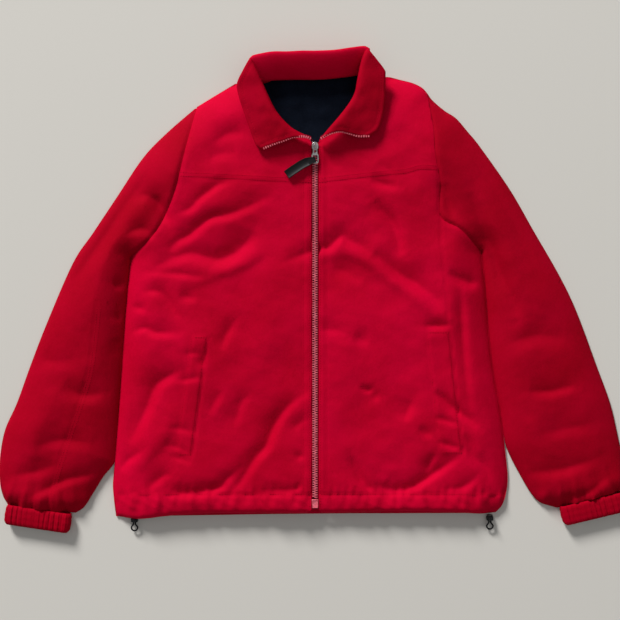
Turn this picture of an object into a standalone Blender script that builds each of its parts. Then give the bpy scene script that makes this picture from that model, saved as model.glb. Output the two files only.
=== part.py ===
"""Foul weather jacket, lying on its back with the zip closed and the collar folded open.

Metres. +X to the right as seen from the front, +Y towards the collar, +Z out of the front.
The origin is on the floor under the middle of the jacket. Left and right are as seen from +Z.
"""
import math

import bmesh
import bpy
from mathutils import Matrix, Vector

# Driving dimensions
SHELL = 0.0014          # shell fabric with its backing
LINING = 0.0012
GAP = 0.0003            # clearance between neighbouring pieces
GRID = 0.040            # spacing of the folds that let a panel follow the body's dome
RIM_HEIGHT = 0.0029     # top of the front layer along a folded side edge
RIM_WIDTH = 0.070       # distance over which the front layer rises from that edge
HEM_LEVEL, COLLAR_LEVEL = 0.019, 0.028    # top of the front layer at the hem and at the collar
HEM_Y, COLLAR_Y = -0.350, 0.330
HEM_SEAM_Y = -0.3205    # top edge of the hem casing
YOKE_SEAM_Y = 0.1765
HINGE_TOP = Vector((0.122, 0.350, 0.0340))    # fold line that a front turns on, right side
HINGE_FOOT = Vector((0.252, -0.357, 0.0210))
PLACKET_X = 0.0063      # the shell's folded edge beside the zip
CHAIN_IN, CHAIN_OUT = 0.0010, 0.0040
TAPE_IN, TAPE_OUT = 0.0047, 0.0200
FACING_OUT = 0.0300
ZIP_TOP_Y, ZIP_FOOT_Y = 0.2325, -0.3262
ZIP_BOX_LENGTH = 0.0150
PULL_CLEAR_Y = 0.1970   # the right chain and tape start below the slider's pull
SLIDER_Y = (0.2195, 0.2315)
SLIDER_HALF_WIDTH = 0.0052
PIVOT_Y, PIVOT_RISE = 0.2247, 0.0023
POCKET_DROP = 0.0084    # top of the pocket bag below the top of the front layer
LINING_DROP = 0.0102
CUFF_LENGTH, CUFF_HEIGHT, CUFF_WALL = 0.031, 0.015, 0.0013
CORD = 0.0025
CORD_Z = 0.0051
LOCK_SIZE = (0.0110, 0.0072, 0.0086)      # a cord lock's body
BUTTON_TRAVEL = 0.002

# Colours: (red, green, blue), roughness, metallic
RED = ((0.45, 0.004, 0.018), 0.62, 0.0)
DARK_RED = ((0.30, 0.003, 0.012), 0.70, 0.0)
NAVY = ((0.006, 0.009, 0.018), 0.85, 0.0)
TEETH_PINK = ((0.60, 0.10, 0.13), 0.35, 0.0)
STEEL = ((0.62, 0.60, 0.58), 0.30, 1.0)
BLACK = ((0.012, 0.012, 0.013), 0.45, 0.0)
ELASTIC = ((0.55, 0.53, 0.50), 0.80, 0.0)

# Outlines of the two halves. Every list runs down the body, away from the collar.
LEFT = {
    "sign": -1,
    "neck": [(-0.1256, 0.3250)],
    "shoulder": [(-0.1492, 0.3109)],
    "tip": (-0.1853, 0.2889),
    "armhole": [(-0.2041, 0.2214), (-0.2221, 0.1507), (-0.2481, 0.0958)],
    "underarm": (-0.2889, 0.0518),
    "side": [(-0.2983, -0.0455), (-0.3046, -0.1397), (-0.3156, -0.2810), (-0.3184, HEM_SEAM_Y)],
    "hem": [(-0.3155, -0.3564), (-0.2540, -0.3560), (-0.1413, -0.3501), (-0.0085, -0.3501)],
    "cap_outer": [(-0.2324, 0.2481), (-0.2700, 0.2088), (-0.3485, 0.0911)],
    "swing": ((-0.3645, 0.0680), (-0.2935, 0.0400)),
    "sleeve_outer": [(-0.3799, 0.0440)],
    "elbow": ((-0.4225, -0.0575), (-0.3070, -0.1000)),
    "forearm_outer": [(-0.4475, -0.1193), (-0.4867, -0.2182), (-0.4961, -0.2967), (-0.4885, -0.3353)],
    "sleeve_inner": [(-0.2975, 0.0094), (-0.3035, -0.0455)],
    "forearm_inner": [(-0.3145, -0.2025), (-0.3190, -0.2620), (-0.3501, -0.3187), (-0.3790, -0.3485)],
    "cuff": ((-0.4378, -0.3597), -8.5, 0.103),
    "neckline": [(-0.1050, 0.3220), (-0.0700, 0.2700), (-0.0450, 0.2500), (-0.0200, 0.2380)],
    "leaf_outer": [(-0.1052, 0.3666), (-0.1162, 0.3485), (-0.1250, 0.3250), (-0.1130, 0.2842),
                   (-0.0911, 0.2292), (-0.0824, 0.2245)],
    "leaf_front": [(-0.0487, 0.2355), (-0.0345, 0.2402), (-0.0126, 0.2418), (-0.0031, 0.2365)],
    "leaf_roll": [(-0.0157, 0.2450), (-0.0408, 0.2685), (-0.0612, 0.2842), (-0.0848, 0.3281),
                  (-0.1000, 0.3650)],
    "pocket": ((-0.1670, -0.0738), (-0.1921, -0.2575)),
    "cord_x": -0.2861,
    "cord_y": -0.3567,
}
RIGHT = {
    "sign": 1,
    "neck": [(0.1250, 0.3300)],
    "shoulder": [(0.1649, 0.3187)],
    "tip": (0.1790, 0.3156),
    "armhole": [(0.1868, 0.2606), (0.1963, 0.1711), (0.1975, 0.1178), (0.2300, 0.0958)],
    "underarm": (0.2606, 0.0612),
    "side": [(0.2700, -0.0400), (0.2795, -0.1240), (0.2905, -0.1868), (0.3030, -0.2967),
             (0.3015, HEM_SEAM_Y)],
    "hem": [(0.2880, -0.3510), (0.2510, -0.3510), (0.1335, -0.3470), (0.0065, -0.3495)],
    "cap_outer": [(0.1915, 0.2920), (0.2591, 0.2261), (0.3062, 0.1586)],
    "swing": ((0.3520, 0.0785), (0.2650, 0.0480)),
    "sleeve_outer": [(0.3847, 0.0220)],
    "elbow": ((0.4190, -0.0550), (0.2815, -0.1050)),
    "forearm_outer": [(0.4427, -0.1193), (0.4757, -0.2292), (0.4867, -0.2810), (0.4925, -0.3110)],
    "sleeve_inner": [(0.2690, 0.0251), (0.2735, -0.0400)],
    "forearm_inner": [(0.2945, -0.1868), (0.3050, -0.2700), (0.3564, -0.3330), (0.3830, -0.3385)],
    "cuff": ((0.4412, -0.3436), 13.5, 0.1035),
    "neckline": [(0.1030, 0.3300), (0.0750, 0.2900), (0.0560, 0.2560), (0.0250, 0.2380)],
    "leaf_outer": [(0.0860, 0.3810), (0.1099, 0.3470), (0.1083, 0.2952), (0.1036, 0.2669),
                   (0.0942, 0.2481), (0.0816, 0.2434)],
    "leaf_front": [(0.0550, 0.2481), (0.0361, 0.2496), (0.0173, 0.2449), (0.0063, 0.2371)],
    "leaf_roll": [(0.0120, 0.2450), (0.0455, 0.2842), (0.0612, 0.3093), (0.0659, 0.3344),
                  (0.0800, 0.3780)],
    "pocket": ((0.1830, -0.0680), (0.2125, -0.2545)),
    "cord_x": 0.2771,
    "cord_y": -0.3542,
}
SIDES = {"left": LEFT, "right": RIGHT}
COLLAR_BACK_X = (-0.0920, 0.0700)    # ends of the back of the collar, clear of the leaves
COLLAR_TILT = 0.083                  # the collar's top edge rises to the right


def clear_scene():
    for obj in list(bpy.data.objects):
        bpy.data.objects.remove(obj, do_unlink=True)
    for group in list(bpy.data.collections):
        bpy.data.collections.remove(group)


def level(y):
    """Top of the front layer where the body lies flat: a plane that slopes down to the hem."""
    return HEM_LEVEL + (COLLAR_LEVEL - HEM_LEVEL) * (y - HEM_Y) / (COLLAR_Y - HEM_Y)


def rim_distance(x, y, rims):
    point = Vector((x, y))
    nearest = RIM_WIDTH
    for rim in rims:
        for a, b in zip(rim, rim[1:]):
            a, b = Vector(a), Vector(b)
            along = max(0.0, min(1.0, (point - a).dot(b - a) / (b - a).length_squared))
            nearest = min(nearest, (point - a - (b - a) * along).length)
    return nearest


def domed(rims):
    """Height of the front layer: it rises from its folded rims to the level of the body."""
    def height(x, y):
        share = math.sin(rim_distance(x, y, rims) / RIM_WIDTH * math.pi / 2)
        return RIM_HEIGHT + (level(y) - RIM_HEIGHT) * share
    return height


def plane(x, y):
    return level(y)


def floor(x, y):
    return 0.0


def hinge_x(y, side):
    """X of the fold line that a front turns on."""
    share = (y - HINGE_TOP.y) / (HINGE_FOOT.y - HINGE_TOP.y)
    return side["sign"] * (HINGE_TOP.x + (HINGE_FOOT.x - HINGE_TOP.x) * share)


def front_point(y, side):
    return (hinge_x(y, side) - side["sign"] * GAP, y)


def outer_point(y, side):
    return (hinge_x(y, side) + side["sign"] * GAP, y)


def paint(obj, look):
    colour, roughness, metallic = look
    material = bpy.data.materials.new(obj.name)
    material.use_nodes = True
    shader = material.node_tree.nodes["Principled BSDF"]
    shader.inputs["Base Color"].default_value = (*colour, 1.0)
    shader.inputs["Roughness"].default_value = roughness
    shader.inputs["Metallic"].default_value = metallic
    obj.data.materials.append(material)


def place(name, mesh, look, parent=None):
    obj = bpy.data.objects.new(name, mesh)
    PARTS.objects.link(obj)
    paint(obj, look)
    if parent is not None:
        obj.parent = parent
        obj.data.transform(Matrix.Translation(-parent.location))
    return obj


def pivot(name, location):
    empty = bpy.data.objects.new(name, None)
    empty.location = location
    PARTS.objects.link(empty)
    return empty


def outline_curve(loops, depth=0.0):
    """A flat outline drawn in millimetres, so that its fill keeps the smallest steps."""
    curve = bpy.data.curves.new("outline", "CURVE")
    curve.dimensions = "2D"
    curve.fill_mode = "BOTH"
    curve.extrude = depth / 2 * 1000
    for points in loops:
        spline = curve.splines.new("POLY")
        spline.points.add(len(points) - 1)
        for point, (x, y) in zip(spline.points, points):
            point.co = (x * 1000, y * 1000, 0.0, 1.0)
        spline.use_cyclic_u = True
    return curve


def curve_mesh(curve):
    """The curve as a closed mesh, its caps joined to its sides."""
    obj = bpy.data.objects.new("outline", curve)
    bpy.context.scene.collection.objects.link(obj)
    bpy.context.view_layer.update()
    graph = bpy.context.evaluated_depsgraph_get()
    mesh = bpy.data.meshes.new_from_object(obj.evaluated_get(graph))
    bpy.data.objects.remove(obj)
    bm = bmesh.new()
    bm.from_mesh(mesh)
    bmesh.ops.remove_doubles(bm, verts=bm.verts, dist=1e-6)
    if curve.dimensions == "2D":
        bmesh.ops.scale(bm, vec=(0.001, 0.001, 0.001), verts=bm.verts)
    return bm


def finish_mesh(bm, name):
    bmesh.ops.recalc_face_normals(bm, faces=bm.faces)
    mesh = bpy.data.meshes.new(name)
    bm.to_mesh(mesh)
    bm.free()
    return mesh


def crease(bm, grid):
    """Cuts the flat outline along evenly spaced lines, so that it can follow a dome."""
    for axis in (0, 1):
        normal = Vector((1 - axis, axis, 0))
        low = min(v.co[axis] for v in bm.verts)
        high = max(v.co[axis] for v in bm.verts)
        for step in range(math.ceil(low / grid), math.floor(high / grid) + 1):
            if low + 0.002 < step * grid < high - 0.002:
                bmesh.ops.bisect_plane(bm, geom=bm.verts[:] + bm.edges[:] + bm.faces[:],
                                       plane_co=normal * step * grid, plane_no=normal, dist=1e-5)


def panel(name, loops, look, height=plane, top=0.0, thick=SHELL, grid=None, parent=None):
    """A fabric layer: its upper face lies `top` above the height, and it is `thick` deep."""
    bm = curve_mesh(outline_curve(loops))
    bmesh.ops.dissolve_limit(bm, angle_limit=0.01, verts=bm.verts, edges=bm.edges)
    if grid:
        crease(bm, grid)
    bmesh.ops.triangulate(bm, faces=bm.faces)
    for vert in bm.verts:
        vert.co.z = height(vert.co.x, vert.co.y) + top
    grown = bmesh.ops.extrude_face_region(bm, geom=bm.faces[:])
    lower = [item for item in grown["geom"] if isinstance(item, bmesh.types.BMVert)]
    bmesh.ops.translate(bm, verts=lower, vec=(0, 0, -thick))
    return place(name, finish_mesh(bm, name), look, parent)


def bar(name, x_range, y_range, top, thick, look, parent=None):
    (x0, x1), (y0, y1) = sorted(x_range), sorted(y_range)
    return panel(name, [[(x0, y0), (x1, y0), (x1, y1), (x0, y1)]], look,
                 top=top, thick=thick, parent=parent)


def tube(name, points, diameter, look, parent=None, sides=2):
    curve = bpy.data.curves.new(name, "CURVE")
    curve.dimensions = "3D"
    curve.bevel_depth = diameter / 2
    curve.bevel_resolution = sides
    curve.use_fill_caps = True
    spline = curve.splines.new("POLY")
    spline.points.add(len(points) - 1)
    for point, co in zip(spline.points, points):
        point.co = (*co, 1.0)
    return place(name, finish_mesh(curve_mesh(curve), name), look, parent)


def profile_x(name, outline, x_range, look, tilt=0.0, parent=None):
    """A section in Y and Z, carried along X. tilt moves it along +Y as X grows."""
    x0, x1 = x_range
    bm = curve_mesh(outline_curve([outline], x1 - x0))
    for vert in bm.verts:
        y, z, along = vert.co
        x = (x0 + x1) / 2 + along
        vert.co = (x, y + tilt * x, z)
    return place(name, finish_mesh(bm, name), look, parent)


def join(main, extra):
    """Adds one solid to another."""
    union = main.modifiers.new("union", "BOOLEAN")
    union.operation = "UNION"
    union.object = extra
    bpy.context.view_layer.update()
    graph = bpy.context.evaluated_depsgraph_get()
    mesh = bpy.data.meshes.new_from_object(main.evaluated_get(graph))
    main.modifiers.clear()
    main.data = mesh
    bpy.data.objects.remove(extra)


def arc(centre, radius, start, stop, steps):
    """Points on a circle, angles in degrees."""
    points = []
    for step in range(steps + 1):
        angle = math.radians(start + (stop - start) * step / steps)
        points.append((centre[0] + radius * math.cos(angle), centre[1] + radius * math.sin(angle)))
    return points


def stadium(width, height, steps=6):
    """A flattened ring's outline, resting on zero."""
    radius = height / 2
    reach = width / 2 - radius
    return arc((reach, radius), radius, -90, 90, steps) + arc((-reach, radius), radius, 90, 270, steps)


def offset_point(a, b, distance):
    """A point at a, moved to the left of the direction a to b."""
    step = (Vector(b) - Vector(a)).normalized()
    return (a[0] - step.y * distance, a[1] + step.x * distance)


def body_rims(side):
    shoulder = side["neck"] + side["shoulder"] + [side["tip"]]
    return [shoulder, [side["underarm"]] + side["side"] + side["hem"][:1]]


def sleeve_rims(side):
    outer = ([side["tip"]] + side["cap_outer"] + [side["swing"][0]] + side["sleeve_outer"]
             + [side["elbow"][0]] + side["forearm_outer"])
    inner = ([side["underarm"], side["swing"][1]] + side["sleeve_inner"] + [side["elbow"][1]]
             + side["forearm_inner"])
    return [outer, inner]


def armhole_line(side, shift):
    """The armhole from shoulder to underarm, moved by `shift` towards the sleeve."""
    points = [side["tip"]] + side["armhole"] + [side["underarm"]]
    return [(x + side["sign"] * shift, y) for x, y in points]


def back(left, right):
    """The back panel, its hem casing with the drawcord inside, and the lining."""
    seam = HEM_SEAM_Y + GAP
    outline = ([right["tip"]] + right["shoulder"] + right["neck"] + [(0.060, 0.3400), (0.0, 0.3390)]
               + left["neck"] + left["shoulder"] + [left["tip"]] + left["cap_outer"]
               + list(left["swing"]) + left["side"][:-1] + [(left["side"][-1][0], seam)]
               + [(right["side"][-1][0], seam)] + right["side"][-2::-1]
               + list(right["swing"][::-1]) + right["cap_outer"][::-1])
    panel("back_panel", [outline], RED, height=floor, top=SHELL)
    inner = [(0.0, 0.3270), (-0.085, 0.3170), (-0.165, 0.2800), (-0.190, 0.150), (-0.255, 0.050),
             (-0.290, -0.240), (-0.290, seam), (0.280, seam), (0.278, -0.240), (0.236, 0.060),
             (0.175, 0.150), (0.160, 0.2950), (0.085, 0.3230)]
    panel("back_lining", [inner], NAVY, height=floor, top=SHELL + GAP + LINING, thick=LINING)
    foot, mouth = HEM_Y - 0.0035, HEM_SEAM_Y
    casing_top = 2 * SHELL + 0.0030
    casing = [(mouth, 0.0), (foot, 0.0), (foot, casing_top), (mouth, casing_top),
              (mouth, casing_top - SHELL), (foot + SHELL, casing_top - SHELL),
              (foot + SHELL, SHELL), (mouth, SHELL)]
    width = (left["side"][-1][0] + 0.0010, right["side"][-1][0] - 0.0010)
    profile_x("back_hem", casing, width, RED)
    run = (foot + mouth) / 2
    tube("hem_drawcord", [(left["cord_x"], run, SHELL + 0.0015), (right["cord_x"], run, SHELL + 0.0015)],
         CORD, BLACK)


def collar_back():
    """The back of the collar: it rises from the neck seam, rolls over and hangs behind."""
    wall = 0.0026
    neck_y, roll_y, fall_y = 0.3410, 0.3745, 0.3520
    section = [(neck_y, 0.0032), (neck_y + wall, 0.0032), (roll_y - 0.0060, 0.0330)]
    section += arc((roll_y - 0.0045, 0.0335), 0.0018, 130, 0, 3)
    section += [(fall_y + 0.0040, 0.0060), (fall_y + 0.0065, 0.0045)]
    section += [(roll_y, 0.0335)] + arc((roll_y - 0.0045, 0.0335), 0.0045, 10, 150, 5)
    profile_x("collar_back", section, COLLAR_BACK_X, RED, tilt=COLLAR_TILT)


def collar_height(side):
    """A leaf rises from its outer edge to the roll of the collar."""
    roll = [side["leaf_roll"]]
    def height(x, y):
        share = min(1.0, rim_distance(x, y, roll) / 0.045)
        return level(y) + 0.0030 + SHELL + 0.0100 * (1 - share) ** 2
    return height


def collar_leaf(word, side):
    centre = Vector(side["leaf_roll"][2])
    hub = pivot("collar_hinge_" + word, (centre.x, centre.y, 0.0400))
    height = collar_height(side)
    panel("collar_leaf_" + word, [side["leaf_outer"] + side["leaf_front"] + side["leaf_roll"]], RED,
          height=height, thick=0.0028, grid=0.020, parent=hub)
    edge = [side["leaf_outer"][-1]] + side["leaf_front"]
    line = []
    for x, y in edge:
        line.append((x, y - 0.0026, height(x, y) - 0.0014))
    tube("collar_teeth_" + word, line, 0.0028, TEETH_PINK, parent=hub)


def front(word, side):
    sign = side["sign"]
    hub = pivot("front_hinge_" + word, (HINGE_TOP.x * sign, HINGE_TOP.y, HINGE_TOP.z))
    rims = domed(body_rims(side))
    edge = sign * PLACKET_X
    yoke = [(edge, 0.2320), (edge, YOKE_SEAM_Y - 0.0060), front_point(YOKE_SEAM_Y + GAP, side),
            front_point(0.3235, side)] + side["neckline"]
    panel("front_yoke_" + word, [yoke], RED, height=rims, grid=GRID, parent=hub)
    slot_top, slot_foot = (Vector(point) for point in side["pocket"])
    inward = Vector((-sign * 0.0065, 0.0))
    slot = [slot_top, slot_foot, slot_foot + inward, slot_top + inward]
    outline = [(edge, YOKE_SEAM_Y - 0.0060 - 2 * GAP), (edge, HEM_SEAM_Y + GAP),
               front_point(HEM_SEAM_Y + GAP, side), front_point(YOKE_SEAM_Y - GAP, side)]
    panel("front_panel_" + word, [outline, [tuple(point) for point in slot]], RED,
          height=rims, grid=GRID, parent=hub)
    hem = [(edge, HEM_SEAM_Y - GAP), side["hem"][3], side["hem"][2],
           front_point(side["hem"][1][1], side), front_point(HEM_SEAM_Y - GAP, side)]
    panel("front_hem_" + word, [hem], RED, height=rims, grid=GRID, parent=hub)
    lining = [(sign * 0.0100, 0.2200), (sign * 0.0100, HEM_SEAM_Y + 0.0030),
              (hinge_x(HEM_SEAM_Y, side) - sign * 0.004, HEM_SEAM_Y + 0.0030),
              (hinge_x(0.280, side) - sign * 0.006, 0.280), (sign * 0.095, 0.280)]
    panel("front_lining_" + word, [lining], NAVY, top=-LINING_DROP, thick=LINING, parent=hub)
    top = ZIP_TOP_Y if word == "left" else PULL_CLEAR_Y
    bar("zip_facing_" + word, (edge, sign * FACING_OUT), (PULL_CLEAR_Y, HEM_SEAM_Y + 0.0030),
        -0.0032, LINING, DARK_RED, parent=hub)
    bar("zip_tape_" + word, (sign * TAPE_IN, sign * TAPE_OUT), (top, ZIP_FOOT_Y), -0.0017, 0.0010,
        DARK_RED, parent=hub)
    bar("zip_teeth_" + word, (sign * CHAIN_IN, sign * CHAIN_OUT), (top, ZIP_FOOT_Y), -0.0007, 0.0030,
        TEETH_PINK, parent=hub)
    foot = (ZIP_FOOT_Y - GAP, ZIP_FOOT_Y - ZIP_BOX_LENGTH)
    if word == "left":
        bar("zip_box", (-0.0042, -0.0003), foot, 0.0002, 0.0044, TEETH_PINK, parent=hub)
    else:
        bar("zip_pin", (0.0003, 0.0030), foot, -0.0012, 0.0020, TEETH_PINK, parent=hub)
    pocket(word, side, hub)
    return hub


def pocket(word, side, hub):
    """The bag that hangs under the front, and the welt along its mouth."""
    sign = side["sign"]
    mouth_top, mouth_foot = (Vector(point) for point in side["pocket"])
    lip = Vector((sign * 0.0180, 0.0))
    far = Vector((-sign * 0.1150, 0.0))
    bag = [mouth_top + lip + Vector((0, 0.010)), mouth_foot + lip - Vector((0, 0.020)),
           mouth_foot + far * 0.9 - Vector((0, 0.045)), mouth_foot + far,
           mouth_top + far * 0.8 - Vector((0, 0.030)), mouth_top + far * 0.4 + Vector((0, 0.012))]
    panel("pocket_bag_" + word, [[tuple(point) for point in bag]], NAVY,
          top=-POCKET_DROP, thick=0.0010, parent=hub)
    start = Vector((sign * 0.0006, 0.0))
    welt = Vector((sign * 0.0180 if word == "left" else sign * 0.0090, 0.0))
    strip = [mouth_top + start, mouth_foot + start, mouth_foot + welt, mouth_top + welt]
    panel("pocket_welt_" + word, [[tuple(point) for point in strip]], RED,
          top=SHELL + GAP, parent=hub)


def body_side(word, side):
    """The parts of the front and of its hem that stay with the back."""
    rims = domed(body_rims(side))
    hole = armhole_line(side, 0.0)
    yoke_edge = hinge_x(YOKE_SEAM_Y, side)
    cut = 2 if word == "left" else 3
    seam_x = side["sign"] * (0.2150 if word == "left" else 0.1955)
    shoulder = [outer_point(0.3235, side), outer_point(YOKE_SEAM_Y + GAP, side),
                (seam_x, YOKE_SEAM_Y + GAP)] + hole[1:cut][::-1] + [side["tip"]] + side["shoulder"]
    panel("shoulder_yoke_" + word, [shoulder], RED, height=rims, grid=GRID)
    seam = HEM_SEAM_Y + GAP
    outline = ([(yoke_edge + side["sign"] * GAP, YOKE_SEAM_Y - GAP), outer_point(seam, side),
                (side["side"][-1][0], seam)] + side["side"][-2::-1] + [side["underarm"]]
               + hole[cut:-1][::-1] + [(seam_x, YOKE_SEAM_Y - GAP)])
    panel("side_panel_" + word, [outline], RED, height=rims, grid=0.030)
    lower = side["hem"]
    casing = [outer_point(HEM_SEAM_Y - GAP, side), outer_point(lower[1][1], side), lower[0],
              (side["side"][-1][0], HEM_SEAM_Y - GAP)]
    lift = 0.0030
    panel("side_hem_" + word, [casing], RED, height=lambda x, y: max(rims(x, y), 0.0060) + lift - 0.0014,
          thick=SHELL, grid=0.030)


def sleeve(word, side):
    """The cap stays with the body; below it are two layers of sleeve, and two of forearm."""
    rims = domed(sleeve_rims(side))
    sign = side["sign"]
    swing_out, swing_in = side["swing"]
    elbow_out, elbow_in = side["elbow"]
    shoulder = pivot("shoulder_" + word, (swing_out[0], swing_out[1], 0.0))
    middle = (Vector(elbow_out) + Vector(elbow_in)) / 2
    elbow = pivot("elbow_" + word, (middle.x, middle.y, 0.0280))
    underarm = (side["underarm"][0] + sign * 0.0030, side["underarm"][1] - 0.0010)
    cap = (armhole_line(side, 2 * GAP)[:-1] + [underarm, swing_in, swing_out]
           + side["cap_outer"][::-1])
    panel("sleeve_cap_" + word, [cap], RED, height=rims, grid=GRID)
    down = Vector((0.0, -2 * GAP))
    upper_inner = tuple(Vector(swing_in) + down + Vector((sign * 0.0015, 0.0)))
    upper = ([upper_inner] + side["sleeve_inner"] + [elbow_in, elbow_out]
             + side["sleeve_outer"][::-1] + [tuple(Vector(swing_out) + down)])
    lower = ([tuple(Vector(elbow_in) + down)] + side["forearm_inner"] + side["forearm_outer"][::-1]
             + [tuple(Vector(elbow_out) + down)])
    for limb, outline, hub in (("sleeve", upper, shoulder), ("forearm", lower, elbow)):
        panel(limb + "_top_" + word, [outline], RED, height=rims, grid=GRID, parent=hub)
        panel(limb + "_under_" + word, [outline], RED, height=floor, top=0.0012, thick=0.0012, parent=hub)
    cuff(word, side, elbow)


def cuff(word, side, hub):
    (x, y), turn, width = side["cuff"]
    rings = {
        "cuff_": (width, CUFF_HEIGHT, 0.0, CUFF_WALL, CUFF_LENGTH, RED),
        "cuff_elastic_": (width - 2 * CUFF_WALL - 2 * GAP, CUFF_HEIGHT - 2 * CUFF_WALL - 2 * GAP,
                          CUFF_WALL + GAP, 0.0011, CUFF_LENGTH - 0.006, ELASTIC),
    }
    for name, (across, high, lift, wall, length, look) in rings.items():
        outer = [(a, b + lift) for a, b in stadium(across, high)]
        inner = [(a, b + lift + wall) for a, b in stadium(across - 2 * wall, high - 2 * wall)]
        bm = curve_mesh(outline_curve([outer, inner], length))
        stand = Matrix.Rotation(math.radians(turn), 4, "Z") @ Matrix.Rotation(math.radians(90), 4, "X")
        bmesh.ops.transform(bm, matrix=Matrix.Translation((x, y, 0.0)) @ stand, verts=bm.verts)
        place(name + word, finish_mesh(bm, name + word), look, hub)


def zip_slider():
    """Two plates joined between the chains, with a bridge for the pull; the pull; its tab."""
    half, (foot, top) = SLIDER_HALF_WIDTH, SLIDER_Y
    web = CHAIN_IN - GAP
    section = [(-half, -0.0055), (half, -0.0055), (half, -0.0041), (web, -0.0042), (web, -0.0002),
               (half, -0.0003), (half, 0.0011), (-half, 0.0011), (-half, -0.0003),
               (-web, -0.0002), (-web, -0.0042), (-half, -0.0041)]
    bm = curve_mesh(outline_curve([section], top - foot))
    for vert in bm.verts:
        x, z, along = vert.co
        y = (foot + top) / 2 - along
        vert.co = (x, y, level(y) + z)
    hub = pivot("zip_slide", (0.0, top, level(top)))
    slider = place("zip_slider", finish_mesh(bm, "zip_slider"), STEEL, hub)
    reach = PIVOT_Y - foot
    bridge = [(-reach + 0.0006, 0.0005), (-reach + 0.0006, 0.0046), (0.0052, 0.0046), (0.0052, 0.0005),
              (0.0036, 0.0005), (0.0036, 0.0034), (-reach + 0.0022, 0.0034), (-reach + 0.0022, 0.0005)]
    bm = curve_mesh(outline_curve([bridge], 0.0024))
    for vert in bm.verts:
        y, z, along = vert.co
        vert.co = (along, PIVOT_Y + y, level(PIVOT_Y + y) + z)
    staple = place("bridge", finish_mesh(bm, "bridge"), STEEL, hub)
    bpy.context.view_layer.update()
    join(slider, staple)

    pin = pivot("pull_pivot", (0.0, PIVOT_Y, level(PIVOT_Y) + PIVOT_RISE))
    body = [(-0.0036, 0.0007), (-0.0036, -0.0090), (-0.0055, -0.0140), (-0.0055, -0.0240),
            (-0.0040, -0.0262), (0.0040, -0.0262), (0.0055, -0.0240), (0.0055, -0.0140),
            (0.0036, -0.0090), (0.0036, 0.0007)]
    eye = [(-0.0019, -0.0007), (-0.0019, -0.0095), (0.0019, -0.0095), (0.0019, -0.0007)]
    window = [(-0.0036, -0.0130), (-0.0036, -0.0235), (0.0036, -0.0235), (0.0036, -0.0130)]
    loops = [[(x, PIVOT_Y + y) for x, y in loop] for loop in (body, eye, window)]
    rise = level(PIVOT_Y) + PIVOT_RISE + 0.0006
    panel("zip_pull", loops, STEEL, height=floor, top=rise, thick=0.0012, parent=pin)

    centre = (0.0, PIVOT_Y - 0.0200)
    swing = pivot("tab_pivot", (centre[0], centre[1], rise + 0.0010))
    line = [Vector((-0.0030, 0.2043)), Vector((-0.0180, 0.1985)), Vector((-0.0310, 0.1880)),
            Vector((-0.0440, 0.1775))]
    upper, lower = [], []
    for a, b in zip(line, line[1:] + [line[-1] * 2 - line[-2]]):
        upper.append(offset_point(a, b, -0.0052))
        lower.append(offset_point(a, b, 0.0052))
    nose = arc(centre, 0.0052, 70, -110, 6)
    tab = panel("pull_tab", [nose + lower + upper[::-1]], BLACK, height=floor,
                top=rise + 0.0023, thick=0.0020, parent=swing)
    peg = bar("peg", (-0.0016, 0.0016), (centre[1] - 0.0016, centre[1] + 0.0016), 0.0, 0.0034, BLACK)
    peg.data.transform(Matrix.Translation((0, 0, rise + 0.0010 - level(centre[1]))))
    peg.parent = swing
    peg.data.transform(Matrix.Translation(-swing.location))
    bpy.context.view_layer.update()
    join(tab, peg)


def loop_points(side):
    """The bight of elastic cord that stands out of the hem: two strands, then a round end."""
    x, y = side["cord_x"], side["cord_y"] - 0.0018
    strand, swell, run = 0.0015, 0.0050, 0.0100
    right_half = []
    for step in range(5):
        right_half.append((strand, -run * step / 4))
    for step in range(1, 8):
        angle = math.radians(-90 + 180 * step / 8)
        right_half.append((strand + (swell - strand) * (1 + math.sin(angle)) / 2, -run - 0.0060 * step / 8))
    crown = arc((0.0, -run - 0.0060), swell, 0, -180, 10)
    left_half = [(-a, b) for a, b in right_half[::-1]]
    return [(x + a, y + b, CORD_Z) for a, b in right_half + crown + left_half]


def cord_end(word, side):
    """Eyelet, cord loop, and the lock with its button."""
    x, y = side["cord_x"], side["cord_y"]
    ring_outer = arc((0.0, CORD_Z), 0.0046, 0, 345, 23)
    ring_inner = arc((0.0, CORD_Z), 0.0032, 0, 345, 23)
    bm = curve_mesh(outline_curve([ring_outer, ring_inner], 0.0012))
    turn = Matrix.Rotation(math.radians(90), 4, "X")
    bmesh.ops.transform(bm, matrix=Matrix.Translation((x, y - 0.0009, 0.0)) @ turn, verts=bm.verts)
    place("hem_eyelet_" + word, finish_mesh(bm, "hem_eyelet"), STEEL)
    tube("cord_loop_" + word, loop_points(side), CORD, BLACK)
    wide, long, high = LOCK_SIZE
    near = y - 0.0022
    hub = pivot("lock_slide_" + word, (x, near, CORD_Z))
    outer = [(-wide / 2, 0.0008), (wide / 2, 0.0008), (wide / 2, high), (-wide / 2, high)]
    slot = [(-0.0031, CORD_Z - 0.0015), (0.0031, CORD_Z - 0.0015), (0.0031, CORD_Z + 0.0015),
            (-0.0031, CORD_Z + 0.0015)]
    bm = curve_mesh(outline_curve([outer, slot], long))
    bmesh.ops.transform(bm, matrix=Matrix.Translation((x, near - long / 2, 0.0)) @ turn, verts=bm.verts)
    place("cord_lock_" + word, finish_mesh(bm, "cord_lock"), BLACK, hub)
    button = pivot("button_" + word, (x, near - long / 2, high))
    bm = bmesh.new()
    bmesh.ops.create_cone(bm, cap_ends=True, segments=16, radius1=0.0028, radius2=0.0026, depth=0.0030)
    lift = Matrix.Translation((x, near - long / 2, high + GAP + BUTTON_TRAVEL + 0.0015))
    bmesh.ops.transform(bm, matrix=lift, verts=bm.verts)
    place("lock_button_" + word, finish_mesh(bm, "lock_button"), BLACK, button)


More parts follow.
